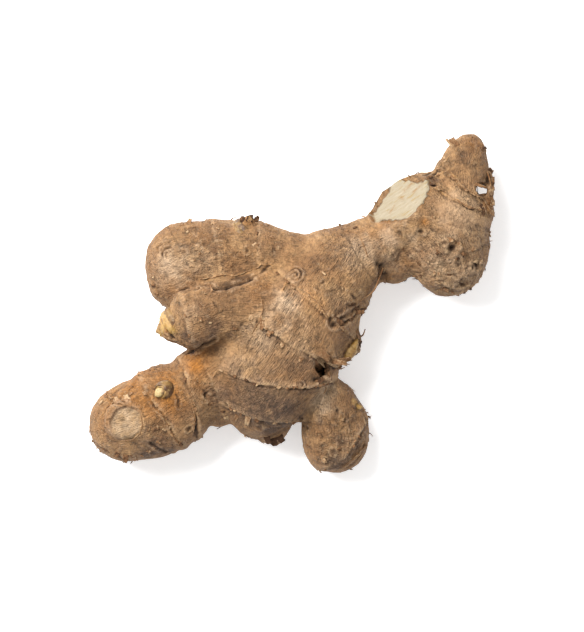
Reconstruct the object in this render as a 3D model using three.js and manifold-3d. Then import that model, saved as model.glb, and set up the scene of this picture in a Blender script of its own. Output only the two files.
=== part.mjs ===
// A whole ginger rhizome, as dug, washed and dried: a thick trunk with five side lobes and their buds.
// It grew as one piece, so it is one solid.
//
// Millimetres, +Z up. The rhizome lies on the plane z = 0 with its broad side up.
// +X runs along its longest extent, from the tip of the low left finger towards the far knob.
// The origin is the middle of the base of its bounding box.
//
// Every lobe is a swept ball along a smooth spine, a little flattened, with leaf-scar rings round it.
// The lobes melt into each other as one distance field, and the skin is sampled from that field.

import * as THREE from "three";
import { ImprovedNoise } from "three/addons/math/ImprovedNoise.js";
import { SimplifyModifier } from "three/addons/modifiers/SimplifyModifier.js";
import { mergeVertices } from "three/addons/utils/BufferGeometryUtils.js";
import Module from "manifold-3d";

// Driving dimensions
const SAMPLING = 0.85; // spacing of the grid that the skin is sampled on
const SKIN_TRIANGLES = 11000; // what the sampled skin is simplified to
const CLOSE_UP = 0.02; // edges of the cut solid that are shorter than this are closed up
const GROUND_SIDE = 200; // block that trims the lobes flat where they lie on the ground
const GRID_LOW = new THREE.Vector3(-70, -58, -3);
const GRID_HIGH = new THREE.Vector3(70, 58, 40);
const RING_STEP = 0.9; // height of the worn leaf-scar step at a ring
const RING_RISE = 3.6; // length over which the skin swells up towards a ring
const RING_DROP = 2.2; // length over which it falls away past the ring
const LUMPS = [
  { size: 13, height: 0.55 },
  { size: 5.5, height: 0.3 },
];

// Each lobe: its spine's stations as [x, y, z, radius], thickness over width, how softly it melts into
// what is already there, and its rings as a point and the direction that the growing tip faces.
const LOBES = [
  {
    name: "trunk",
    flat: 0.88,
    melt: 0,
    spine: [
      [27.5, 19.2, 17.0, 8.8],
      [16.2, 12.4, 17.0, 12.4],
      [8.2, 0.8, 17.5, 15.0],
      [1.6, -10.9, 17.5, 16.8],
      [-5.4, -21.6, 16.5, 16.8],
      [-9.2, -29.8, 14.5, 12.6],
      [-6.6, -36.2, 11.5, 7.8],
      [-4.8, -42.2, 9.0, 3.2],
    ],
    rings: [
      { at: [24.0, 19.0, 17.0], facing: [-0.95, -0.3, 0.1] },
      { at: [15.0, 12.0, 17.0], facing: [-0.8, -0.6, 0.1] },
      { at: [7.0, 2.0, 17.5], facing: [-0.66, -0.74, -0.1] },
      { at: [-0.5, -9.5, 17.5], facing: [-0.52, -0.84, -0.16] },
      { at: [-7.5, -20.5, 16.5], facing: [-0.14, -0.93, -0.34] },
      { at: [-12.5, -32.0, 14.0], facing: [-0.25, -0.92, -0.3] },
    ],
  },
  {
    name: "low left finger",
    flat: 0.9,
    melt: 5,
    spine: [
      [-52.7, -38.3, 13.5, 12.2],
      [-42.0, -34.4, 14.0, 13.9],
      [-31.4, -28.2, 13.5, 11.2],
      [-23.0, -20.9, 13.0, 10.9],
      [-13.0, -13.5, 14.0, 11.5],
    ],
    rings: [
      { at: [-39.5, -37.0, 14.0], facing: [-0.85, -0.52, 0.0] },
      { at: [-33.0, -30.5, 14.0], facing: [-0.95, -0.25, 0.2] },
      { at: [-26.5, -24.0, 14.0], facing: [-0.9, -0.4, 0.1] },
    ],
  },
  {
    name: "knob",
    flat: 0.9,
    melt: 4,
    spine: [
      [38.4, 29.3, 17.0, 11.8],
      [43.5, 28.2, 14.6, 13.8],
      [48.3, 22.2, 12.8, 14.8],
      [51.1, 14.9, 12.8, 12.2],
    ],
    rings: [
      { at: [55.0, 26.5, 15.0], facing: [0.33, 0.92, 0.2] },
      { at: [57.0, 21.5, 15.0], facing: [0.35, 0.9, 0.25] },
    ],
  },
  {
    name: "knob shoulder",
    flat: 0.9,
    melt: 3,
    spine: [
      [49.8, 28.0, 14.6, 12.9],
      [55.2, 32.0, 14.6, 9.3],
      [55.2, 40.6, 15.0, 8.1],
      [56.0, 45.4, 14.5, 7.4],
      [56.9, 48.4, 14.0, 6.3],
    ],
    rings: [
      { at: [55.5, 38.0, 15.0], facing: [0.64, 0.74, 0.2] },
      { at: [54.0, 33.5, 15.0], facing: [0.48, 0.84, 0.25] },
    ],
  },
  {
    name: "knob heel",
    flat: 1.0,
    melt: 2.5,
    spine: [
      [34.0, 14.0, 14.0, 6.2],
      [33.0, 12.2, 13.0, 5.6],
    ],
    rings: [],
  },
  {
    name: "stacked finger",
    flat: 0.9,
    melt: 4.5,
    spine: [
      [-35.8, -6.6, 23.5, 5.8],
      [-29.6, -4.6, 23.5, 9.3],
      [-20.8, -1.8, 22.0, 10.2],
      [-9.0, -1.5, 20.0, 11.5],
    ],
    rings: [{ at: [-33.5, -5.0, 23.5], facing: [-0.95, -0.3, 0.1] }],
  },
  {
    name: "right shoulder",
    flat: 0.95,
    melt: 3,
    spine: [
      [12.0, -7.0, 16.0, 9.0],
      [18.2, -11.4, 15.5, 4.6],
    ],
    rings: [],
  },
  {
    name: "upper left finger",
    flat: 0.9,
    melt: 4,
    spine: [
      [-35.6, 8.5, 10.2, 10.3],
      [-35.6, 14.6, 10.2, 11.0],
      [-28.8, 14.6, 10.4, 12.3],
      [-20.8, 15.4, 11.2, 11.5],
      [-12.8, 15.5, 13.0, 11.0],
      [-1.6, 13.9, 15.5, 9.3],
      [9.0, 12.2, 17.0, 9.3],
    ],
    rings: [
      { at: [-24.8, 15.0, 11.0], facing: [-0.98, -0.1, 0.15] },
      { at: [-11.5, 15.5, 13.0], facing: [-0.98, 0.1, 0.1] },
    ],
  },
  {
    name: "low right finger",
    flat: 0.9,
    melt: 1.2,
    spine: [
      [8.8, -19.5, 16.0, 5.6],
      [11.0, -25.8, 16.0, 5.4],
      [12.6, -31.5, 13.4, 8.2],
      [14.0, -39.2, 9.4, 10.8],
      [14.6, -42.9, 9.4, 11.1],
    ],
    rings: [{ at: [18.5, -42.5, 9.5], facing: [0.7, -0.6, -0.35] }],
  },
  {
    name: "trunk's spur",
    flat: 1.0,
    melt: 2,
    spine: [
      [-20.0, -30.0, 12.0, 6.0],
      [-23.0, -35.0, 11.0, 4.4],
    ],
    rings: [],
  },
  {
    name: "snapped shoot",
    flat: 1.0,
    melt: 2,
    spine: [
      [60.2, 42.4, 15.0, 1.8],
      [63.2, 41.0, 15.5, 1.7],
      [64.0, 38.9, 15.5, 1.5],
    ],
    rings: [],
  },
  {
    name: "husk stub",
    flat: 1.0,
    melt: 2,
    spine: [
      [61.8, 31.5, 16.0, 1.8],
      [64.0, 35.8, 17.0, 1.2],
    ],
    rings: [],
  },
];

// Dormant buds: a small cone that stands out of the skin, from its root to its tip, with both radii.
const BUDS = [
  // on the stacked finger's tip
  { root: [-36.5, -6.0, 23.5], tip: [-40.4, -8.6, 22.5], wide: 3.8, narrow: 1.6 },
  // on the trunk's right shoulder
  { root: [18.2, -11.8, 17.0], tip: [21.4, -14.4, 17.5], wide: 3.2, narrow: 1.3 },
  // on the upper left finger's back
  { root: [-14.0, 24.0, 15.0], tip: [-13.2, 27.0, 17.0], wide: 4.4, narrow: 1.8 },
  // on top of the low left finger
  { root: [-40.6, -27.6, 22.0], tip: [-40.8, -27.8, 26.2], wide: 2.8, narrow: 1.5 },
  // on the low right finger's shoulder
  { root: [18.8, -31.8, 14.2], tip: [21.4, -32.8, 14.8], wide: 2.0, narrow: 1.2 },
];

// A sleeping eye: a low round swelling.
const EYES = [{ at: [1.3, 9.2, 29.0], radius: 3.4, height: 1.3 }];

// Where an old stem broke off: a low round plate with a flat face.
const STEM_SCARS = [
  { at: [-52.7, -36.4, 24.4], facing: [-0.1, -0.06, 0.99], radius: 6.3, height: 1.5 },
];

// Where roots broke off: small craters with a raised rim.
const ROOT_SCARS = [
  { at: [-13.0, 17.0, 23.5], radius: 1.1 },
  { at: [51.8, 18.4, 26.5], radius: 1.7 },
  { at: [59.8, 12.4, 21.5], radius: 2.0 },
  { at: [41.6, 23.2, 28.0], radius: 1.2 },
  { at: [54.7, 6.6, 20.5], radius: 1.6 },
];
const ROOT_SCAR_DEPTH = 1.0;

// Hollows, as round bars cut away: the torn cleft above the low right finger, then the gap that goes
// right through behind the snapped shoot.
const HOLLOWS = [
  { from: [10.6, -18.6, 31.0], to: [8.6, -22.4, 21.0], radius: 2.5 },
  { from: [61.2, 36.6, 3.0], to: [61.2, 36.6, 27.0], radius: 1.9 },
];

// The pale face where a neighbouring lobe was snapped off: a slightly hollow cut through the knob's corner.
const BREAK = { at: [37.2, 34.0, 22.4], facing: [-0.62, 0.54, 0.57], radius: 32 };

const noise = new ImprovedNoise();

// A lobe's spine as closely spaced [x, y, z, radius] rows, on smooth curves through its stations.
function sampleSpine(stations) {
  const places = new THREE.CatmullRomCurve3(
    stations.map(([x, y, z]) => new THREE.Vector3(x, y, z)),
  );
  const radii = new THREE.SplineCurve(
    stations.map(([, , , radius], i) => new THREE.Vector2(i, radius)),
  );
  const steps = (stations.length - 1) * 4;
  return Array.from({ length: steps + 1 }, (_, i) => {
    const place = places.getPoint(i / steps);
    return [place.x, place.y, place.z, radii.getPoint(i / steps).y];
  });
}

// Distance from a point to a tapered round bar between two [x, y, z, radius] ends, with its height
// scaled by 1 / flat.
function barDistance(x, y, z, a, b, flat) {
  const bx = b[0] - a[0];
  const by = b[1] - a[1];
  const bz = (b[2] - a[2]) / flat;
  const px = x - a[0];
  const py = y - a[1];
  const pz = (z - a[2]) / flat;
  const along = (px * bx + py * by + pz * bz) / (bx * bx + by * by + bz * bz);
  const share = Math.min(1, Math.max(0, along));
  return (
    Math.hypot(px - share * bx, py - share * by, pz - share * bz) -
    (a[3] + share * (b[3] - a[3]))
  );
}

// How far the skin stands out at a signed distance past a ring: it swells towards the ring and drops
// behind it, as overlapping leaf scales leave it.
function ringHeight(past) {
  if (past <= 0) return RING_STEP * Math.exp(-((past / RING_RISE) ** 2));
  const left = Math.max(0, 1 - past / RING_DROP);
  return RING_STEP * left * left * (3 - 2 * left);
}

function lobeDistance(lobe, x, y, z) {
  const [cx, cy, cz, reach] = lobe.ball;
  const away = Math.hypot(x - cx, y - cy, z - cz) - reach;
  if (away > 9) return away;
  let nearest = Infinity;
  for (let i = 1; i < lobe.samples.length; i++)
    nearest = Math.min(
      nearest,
      barDistance(x, y, z, lobe.samples[i - 1], lobe.samples[i], lobe.flat),
    );
  let swell = 0;
  for (const { at, facing } of lobe.rings) {
    const past =
      (x - at[0]) * facing[0] + (y - at[1]) * facing[1] + (z - at[2]) * facing[2];
    swell = Math.max(swell, ringHeight(past));
  }
  return nearest - swell;
}

// Joins two distances with a fillet of about the size given.
function melt(a, b, size) {
  if (size <= 0) return Math.min(a, b);
  const share = Math.max(size - Math.abs(a - b), 0) / size;
  return Math.min(a, b) - (share * share * size) / 4;
}

function scarDistance({ at, facing, radius, height }, x, y, z) {
  const px = x - at[0];
  const py = y - at[1];
  const pz = z - at[2];
  const up = px * facing[0] + py * facing[1] + pz * facing[2];
  const out = Math.sqrt(Math.max(0, px * px + py * py + pz * pz - up * up));
  return Math.max(out - radius + 0.15 * up, Math.abs(up) - height);
}

function rootScarDepth(x, y, z) {
  let depth = 0;
  for (const { at, radius, height } of EYES) {
    const share = Math.hypot(x - at[0], y - at[1], z - at[2]) / radius;
    depth -= height * Math.exp(-(share ** 4));
  }
  for (const { at, radius } of ROOT_SCARS) {
    const share = Math.hypot(x - at[0], y - at[1], z - at[2]) / radius;
    if (share < 4)
      depth +=
        ROOT_SCAR_DEPTH * Math.exp(-share * share) -
        0.45 * ROOT_SCAR_DEPTH * Math.exp(-((share - 1.6) ** 2) / 0.3);
  }
  return depth;
}

// The signed distance to the rhizome's skin, less than zero inside.
function skinDistance(x, y, z) {
  let distance = Infinity;
  for (const lobe of lobes)
    distance = melt(distance, lobeDistance(lobe, x, y, z), lobe.melt);
  for (const { root, tip, wide, narrow } of BUDS)
    distance = melt(
      distance,
      barDistance(x, y, z, [...root, wide], [...tip, narrow], 1),
      0.8,
    );
  for (const scar of STEM_SCARS)
    distance = melt(distance, scarDistance(scar, x, y, z), 0.8);
  for (const { from, to, radius } of HOLLOWS)
    distance = -melt(
      -distance,
      barDistance(x, y, z, [...from, radius], [...to, radius], 1),
      1,
    );
  if (Math.abs(distance) > 6) return distance;
  for (const { size, height } of LUMPS)
    distance -= height * noise.noise(x / size + 7.3, y / size + 2.1, z / size + 4.7);
  return distance + rootScarDepth(x, y, z);
}

// Surface nets: one vertex in each grid cell that the skin crosses, and one square face across each
// grid edge that it crosses.
function surfaceNet(distanceAt, low, high, spacing) {
  const counts = ["x", "y", "z"].map((axis) =>
    Math.ceil((high[axis] - low[axis]) / spacing) + 1,
  );
  const strides = [1, counts[0], counts[0] * counts[1]];
  const values = new Float32Array(counts[0] * counts[1] * counts[2]);
  const placeOf = (i, j, k) => [
    low.x + i * spacing,
    low.y + j * spacing,
    low.z + k * spacing,
  ];
  const eachNode = (ends, visit) => {
    for (let k = 0; k < ends[2]; k++)
      for (let j = 0; j < ends[1]; j++)
        for (let i = 0; i < ends[0]; i++)
          visit(i, j, k, i + j * strides[1] + k * strides[2]);
  };
  eachNode(counts, (i, j, k, node) => {
    values[node] = distanceAt(...placeOf(i, j, k));
  });

  const corners = [];
  for (let c = 0; c < 8; c++) corners.push([c & 1, (c >> 1) & 1, (c >> 2) & 1]);
  const cellVertex = new Int32Array(values.length).fill(-1);
  const positions = [];
  eachNode(
    counts.map((count) => count - 1),
    (i, j, k, node) => {
      const at = corners.map(
        ([x, y, z]) => values[node + x + y * strides[1] + z * strides[2]],
      );
      const sum = [0, 0, 0];
      let crossings = 0;
      for (let a = 0; a < 8; a++)
        for (const bit of [1, 2, 4]) {
          const b = a | bit;
          if (b === a || at[a] < 0 === at[b] < 0) continue;
          const share = at[a] / (at[a] - at[b]);
          for (let axis = 0; axis < 3; axis++)
            sum[axis] +=
              corners[a][axis] + share * (corners[b][axis] - corners[a][axis]);
          crossings++;
        }
      if (!crossings) return;
      cellVertex[node] = positions.length / 3;
      const base = placeOf(i, j, k);
      sum.forEach((s, axis) => positions.push(base[axis] + (s / crossings) * spacing));
    },
  );

  const quads = [];
  eachNode(
    counts.map((count) => count - 1),
    (i, j, k, node) => {
      if (i * j * k === 0) return;
      for (let axis = 0; axis < 3; axis++) {
        const inside = values[node] < 0;
        if (inside === values[node + strides[axis]] < 0) continue;
        const side = strides[(axis + 1) % 3];
        const other = strides[(axis + 2) % 3];
        const [a, b, c, d] = [
          cellVertex[node],
          cellVertex[node - side],
          cellVertex[node - side - other],
          cellVertex[node - other],
        ];
        quads.push(inside ? [a, b, c, d] : [a, d, c, b]);
      }
    },
  );
  return { positions, quads };
}

// Splits each square along the diagonal that lies closer to the skin, so ridges stay clean.
function splitQuads(quads, positions, distanceAt) {
  const gap = (u, v) =>
    Math.abs(
      distanceAt(
        ...[0, 1, 2].map((axis) => (positions[3 * u + axis] + positions[3 * v + axis]) / 2),
      ),
    );
  return quads.flatMap(([a, b, c, d]) =>
    gap(a, c) <= gap(b, d) ? [a, b, c, a, c, d] : [a, b, d, b, c, d],
  );
}

// Moves every vertex of the net onto the skin itself, along the field's slope.
function settle(positions, distanceAt) {
  const nudge = 0.05;
  for (let pass = 0; pass < 3; pass++)
    for (let v = 0; v < positions.length; v += 3) {
      const [x, y, z] = positions.slice(v, v + 3);
      const slope = [
        distanceAt(x + nudge, y, z) - distanceAt(x - nudge, y, z),
        distanceAt(x, y + nudge, z) - distanceAt(x, y - nudge, z),
        distanceAt(x, y, z + nudge) - distanceAt(x, y, z - nudge),
      ].map((difference) => difference / (2 * nudge));
      const steepness = Math.max(0.5, slope[0] ** 2 + slope[1] ** 2 + slope[2] ** 2);
      const step = distanceAt(x, y, z) / steepness;
      const limit = SAMPLING / 4;
      const held = Math.min(limit, Math.max(-limit, step));
      for (let axis = 0; axis < 3; axis++) positions[v + axis] -= held * slope[axis];
    }
}

function solidOf(geometry, wasm) {
  const bare = geometry.clone();
  bare.deleteAttribute("normal");
  bare.deleteAttribute("uv");
  const merged = mergeVertices(bare, 1e-4);
  return new wasm.Manifold(
    new wasm.Mesh({
      numProp: 3,
      vertProperties: Float32Array.from(merged.attributes.position.array),
      triVerts: Uint32Array.from(merged.index.array),
    }),
  );
}

function geometryOf(solid) {
  const mesh = solid.getMesh();
  const geometry = new THREE.BufferGeometry();
  geometry.setAttribute("position", new THREE.BufferAttribute(mesh.vertProperties, 3));
  geometry.setIndex(new THREE.BufferAttribute(mesh.triVerts, 1));
  geometry.computeVertexNormals();
  return geometry;
}

// A ball whose skin touches the point at, on the side that facing points to.
function ballBeyond({ at, facing, radius }) {
  const out = new THREE.Vector3(...facing).normalize();
  const centre = new THREE.Vector3(...at).addScaledVector(out, radius);
  return new THREE.SphereGeometry(radius, 96, 64).translate(...centre);
}

const lobes = LOBES.map((lobe) => {
  const samples = sampleSpine(lobe.spine);
  const middle = samples[Math.floor(samples.length / 2)];
  const reach = Math.max(
    ...samples.map(
      ([x, y, z, radius]) =>
        Math.hypot(x - middle[0], y - middle[1], z - middle[2]) + radius,
    ),
  );
  const rings = lobe.rings.map(({ at, facing }) => ({
    at,
    facing: new THREE.Vector3(...facing).normalize().toArray(),
  }));
  return { ...lobe, samples, rings, ball: [middle[0], middle[1], middle[2], reach] };
});

const net = surfaceNet(skinDistance, GRID_LOW, GRID_HIGH, SAMPLING);
settle(net.positions, skinDistance);
const fine = new THREE.BufferGeometry();
fine.setAttribute("position", new THREE.Float32BufferAttribute(net.positions, 3));
fine.setIndex(splitQuads(net.quads, net.positions, skinDistance));
const surplus = Math.max(0, net.quads.length - SKIN_TRIANGLES / 2);
const skin = await new SimplifyModifier().modify(fine, surplus);

const wasm = await Module();
wasm.setup();
const ground = new THREE.BoxGeometry(GROUND_SIDE, GROUND_SIDE, GROUND_SIDE);
ground.translate(0, 0, -GROUND_SIDE / 2);
const rhizomeSolid = solidOf(skin, wasm)
  .subtract(solidOf(ground, wasm))
  .subtract(solidOf(ballBeyond(BREAK), wasm))
  .simplify(CLOSE_UP);
const rhizomeGeometry = geometryOf(rhizomeSolid);
rhizomeGeometry.computeBoundingBox();
const middle = rhizomeGeometry.boundingBox.getCenter(new THREE.Vector3());
rhizomeGeometry.translate(-middle.x, -middle.y, 0);

const rhizome = new THREE.Mesh(
  rhizomeGeometry,
  new THREE.MeshStandardMaterial({ color: 0xab8a6a, roughness: 0.85, metalness: 0 }),
);
rhizome.name = "rhizome";

const ginger = new THREE.Group();
ginger.add(rhizome);

export default ginger;
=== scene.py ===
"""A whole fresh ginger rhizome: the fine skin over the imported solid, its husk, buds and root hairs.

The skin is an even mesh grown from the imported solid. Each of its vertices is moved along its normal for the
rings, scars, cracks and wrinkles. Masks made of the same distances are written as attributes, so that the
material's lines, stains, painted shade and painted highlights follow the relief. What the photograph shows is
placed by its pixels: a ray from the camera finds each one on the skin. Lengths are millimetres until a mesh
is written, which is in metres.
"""

import itertools
import math

import bmesh
import bpy
import numpy as np
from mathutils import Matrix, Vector
from mathutils.bvhtree import BVHTree


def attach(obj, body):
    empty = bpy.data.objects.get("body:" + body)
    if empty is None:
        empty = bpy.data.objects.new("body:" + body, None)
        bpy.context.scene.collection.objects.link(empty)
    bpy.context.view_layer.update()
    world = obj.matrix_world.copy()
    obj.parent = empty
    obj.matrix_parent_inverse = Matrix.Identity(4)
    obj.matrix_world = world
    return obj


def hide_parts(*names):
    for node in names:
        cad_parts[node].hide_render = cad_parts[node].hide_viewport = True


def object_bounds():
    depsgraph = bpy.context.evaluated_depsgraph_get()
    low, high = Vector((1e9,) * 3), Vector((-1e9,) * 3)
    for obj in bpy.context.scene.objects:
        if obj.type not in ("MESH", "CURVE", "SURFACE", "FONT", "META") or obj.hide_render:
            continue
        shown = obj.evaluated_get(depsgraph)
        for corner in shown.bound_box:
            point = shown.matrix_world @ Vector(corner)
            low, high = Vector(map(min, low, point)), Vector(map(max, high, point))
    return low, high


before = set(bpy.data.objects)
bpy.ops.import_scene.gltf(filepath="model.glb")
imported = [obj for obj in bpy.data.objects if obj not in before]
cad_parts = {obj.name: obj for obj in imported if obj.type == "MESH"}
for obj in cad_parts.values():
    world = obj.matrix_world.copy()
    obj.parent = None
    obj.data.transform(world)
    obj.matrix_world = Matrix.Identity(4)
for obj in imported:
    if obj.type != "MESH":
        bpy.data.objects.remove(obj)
CAD_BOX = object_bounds()

MM = 0.001
VOXEL = 0.47  # spacing of the even skin mesh
KEPT_SHARE = 0.7  # of the finished skin's triangles
EVEN_ROUNDS = 7  # of smoothing, for the even mesh
CREASE_ROUNDS = 200  # for the healed crease below the snapped face
BROAD_ROUNDS = 60  # for finding broad hollows
NARROW_ROUNDS = 8  # for finding narrow ones
SEED = 20

# The photograph's frame, and how it looks down on the table
PHOTO_SIZE = (584, 632)
PIXEL = 0.32  # millimetres on the table for one pixel of the photograph
ORIGIN_PIXEL = (291.7, 303.6)  # the photograph's pixel over the frame's origin
SHARP_HEIGHT = 15.0  # height at which the pixel size holds
CAMERA_HEIGHT = 1135.0

# Every lobe's spine as [x, y, z, radius] with its leaf-scar rings as [point, direction of growth, strength],
# in the solid's own millimetres, whose middle lies at LOBES_MIDDLE
LOBES_MIDDLE = (0.54, 0.30, 0.0)
LOBES = {
    "trunk": {
        "spine": [
            [27.5, 19.2, 17.0, 8.8],
            [16.2, 12.4, 17.0, 12.4],
            [8.2, 0.8, 17.5, 15.0],
            [1.6, -10.9, 17.5, 16.8],
            [-5.4, -21.6, 16.5, 16.8],
            [-9.2, -29.8, 14.5, 12.6],
            [-6.6, -36.2, 11.5, 7.8],
        ],
        "rings": [
            [[24.0, 19.0, 17.0], [-0.95, -0.3, 0.1], 0.3],
            [[15.0, 12.0, 17.0], [-0.8, -0.6, 0.1], 0.25],
            [[7.0, 2.0, 17.5], [-0.66, -0.74, -0.1], 0.6],
            [[-0.5, -9.5, 17.5], [-0.52, -0.84, -0.16], 1.1],
            [[-7.5, -20.5, 16.5], [-0.14, -0.93, -0.34], 1.4],
            [[-12.5, -32.0, 14.0], [-0.25, -0.92, -0.3], 0.9],
        ],
    },
    "low left finger": {
        "spine": [
            [-52.7, -38.3, 13.5, 12.2],
            [-42.0, -34.4, 14.0, 13.9],
            [-31.4, -28.2, 13.5, 11.2],
            [-23.0, -20.9, 13.0, 10.9],
            [-13.0, -13.5, 14.0, 11.5],
        ],
        "rings": [
            [[-39.5, -37.0, 14.0], [-0.85, -0.52, 0.0], 0.9],
            [[-33.0, -30.5, 14.0], [-0.95, -0.25, 0.2], 1.0],
            [[-26.5, -24.0, 14.0], [-0.9, -0.4, 0.1], 0.5],
        ],
    },
    "knob": {
        "spine": [
            [38.4, 29.3, 17.0, 11.8],
            [43.5, 28.2, 14.6, 13.8],
            [48.3, 22.2, 12.8, 14.8],
            [51.1, 14.9, 12.8, 12.2],
        ],
        "rings": [
            [[55.0, 26.5, 15.0], [0.33, 0.92, 0.2], 0.5],
            [[57.0, 21.5, 15.0], [0.35, 0.9, 0.25], 0.4],
            [[48.0, 9.0, 14.0], [0.2, 0.95, 0.2], 0.5],
        ],
    },
    "knob shoulder": {
        "spine": [
            [49.8, 28.0, 14.6, 12.9],
            [55.2, 32.0, 14.6, 9.3],
            [55.2, 40.6, 15.0, 8.1],
            [56.9, 48.4, 14.0, 6.3],
        ],
        "rings": [
            [[55.5, 38.0, 15.0], [0.64, 0.74, 0.2], 0.3],
            [[54.0, 33.5, 15.0], [0.48, 0.84, 0.25], 0.25],
        ],
    },
    "stacked finger": {
        "spine": [
            [-35.8, -6.6, 23.5, 5.8],
            [-29.6, -4.6, 23.5, 9.3],
            [-20.8, -1.8, 22.0, 10.2],
            [-9.0, -1.5, 20.0, 11.5],
        ],
        "rings": [[[-33.5, -5.0, 23.5], [-0.95, -0.3, 0.1], 0.5]],
    },
    "upper left finger": {
        "spine": [
            [-35.6, 11.5, 10.2, 11.0],
            [-28.8, 14.6, 10.4, 12.3],
            [-20.8, 15.4, 11.2, 11.5],
            [-12.8, 15.5, 13.0, 11.0],
            [-1.6, 13.9, 15.5, 9.3],
            [9.0, 12.2, 17.0, 9.3],
        ],
        "rings": [
            [[-24.8, 15.0, 11.0], [-0.98, -0.1, 0.15], 0.5],
            [[-11.5, 15.5, 13.0], [-0.98, 0.1, 0.1], 0.55],
        ],
    },
    "low right finger": {
        "spine": [
            [8.8, -19.5, 16.0, 5.6],
            [11.0, -25.8, 16.0, 5.4],
            [12.6, -31.5, 13.4, 8.2],
            [14.0, -39.2, 9.4, 10.8],
            [14.6, -42.9, 9.4, 11.1],
        ],
        "rings": [[[18.5, -42.5, 9.5], [0.7, -0.6, -0.35], 0.9]],
    },
}

# The face where a neighbouring lobe was snapped off, as the ball that cuts it
BREAK = {"at": (37.2, 34.0, 22.4), "facing": (-0.62, 0.54, 0.57), "radius": 32.0}
BREAK_WIDER = {"at": (38.6, 33.4, 22.1), "radius": 75.0}  # the flatter ball that takes its rim further out
BREAK_MIDDLE = (405, 197)  # the pixel at its middle
# Where its rim is cut short by healed skin, as lines between pixels with the skin on their right hand
BREAK_EDGES = {
    "lower edge": [(376, 215), (407, 216)],
    "lower right edge": [(407, 216), (434, 194)],
    "upper edge": [(425, 180), (395, 177.5)],
    "left edge": [(393.5, 175.5), (370.5, 211.5)],
}
HEALED_CREASE = (374, 224)  # where its healed tail runs out on the neck
BREAK_GRAIN = [(382, 211), (425, 186)]  # two pixels along which its cut fibres run
BREAK_STREAKS = {
    "first yellow streak": [0.45, (402, 188), (405, 184), (409, 180)],
    "second yellow streak": [0.55, (411, 189), (416, 184), (422, 180)],
    "third yellow streak": [0.35, (388, 208), (392, 202)],
    "brown spot": [0.5, (399, 194.5), (400.5, 195.5)],
}

# Craters of broken roots and sleeping eyes: [pixel across, pixel down, radius, rim height, pit depth]
SCARS = {
    "knob's large root scar": [452.5, 246.5, 1.9, 0.7, 1.8],
    "beside the large root scar": [443, 242.5, 1.3, 0.3, 0.7],
    "knob's ochre root scar": [421, 232.5, 1.3, 0.35, 1.0],
    "knob's left root scar": [400.5, 233.5, 1.6, 0.3, 0.6],
    "knob's right root scar": [475, 265, 2.0, 0.6, 1.0],
    "knob's middle root scar": [458.5, 264, 1.4, 0.35, 0.7],
    "knob's lower root scar": [463.5, 284.5, 1.5, 0.45, 0.8],
    "knob's bottom root scar": [445, 288, 1.7, 0.55, 0.7],
    "knob's small bump": [412.5, 258, 0.9, 0.4, 0.3],
    "knob's dark dot": [437.5, 267, 0.8, 0.15, 0.8],
    "upper finger's root hole": [247.3, 251, 1.05, 0.2, 1.7],
    "upper finger's mark": [273.5, 250, 1.2, 0.3, 0.6],
    "upper finger's dot": [168, 280.5, 0.5, 0.05, 0.5],
    "trunk's root bud": [258.5, 322.5, 1.7, 0.45, 0.6],
    "torn root stub": [208.5, 398, 1.8, 0.7, 0.5],
    "trunk's low root bud": [260, 426.5, 1.4, 0.55, 0.6],
    "trunk's low dot": [225.5, 404, 0.9, 0.3, 0.6],
    "low finger's root scar": [188, 429, 1.3, 0.35, 0.6],
    "low right finger's root scar": [338.5, 411, 1.0, 0.15, 1.0],
    "low right finger's lower scar": [333.5, 452, 1.3, 0.2, 0.9],
    "low right finger's pale stub": [324.5, 460, 0.8, 0.5, 0.1],
    "low right finger's edge scar": [367.5, 420, 1.2, 0.3, 0.9],
    "trunk's right edge scar": [357.5, 334, 1.1, 0.35, 0.7],
    "stacked finger's dot": [173.5, 314.5, 0.5, 0.1, 0.7],
    "disc's left dot": [120, 418.5, 0.35, 0.0, 0.5],
    "disc's right dot": [125.5, 418.7, 0.4, 0.0, 0.6],
    "stub's dots": [475.5, 164.5, 0.7, 0.1, 0.8],
    "stub's lower dots": [474.5, 169, 0.6, 0.1, 0.7],
    "break's brown dot": [399.7, 195.5, 0.5, 0.0, 0.25],
}
HIDDEN_SCARS = 46  # on the sides and the underside

# Sleeping eyes, each one wrinkle that winds in: [pixel across, pixel down, radius, turns, the side where it
# is deepest, in degrees anticlockwise from right, and how much of it runs all the way round, from 0 to 1]
EYES = {
    "trunk's eye": [295, 274.5, 3.3, 2.2, 40, 0.35],
    "below the trunk's eye": [300.5, 386, 2.1, 1.5, 30, 0.3],
    "upper finger's bud scar": [170, 255.5, 3.6, 2.6, 140, 0.05],
}

DISC = {"pixel": (127.5, 424), "radius": 5.5}  # the scar where the stem came off
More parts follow.
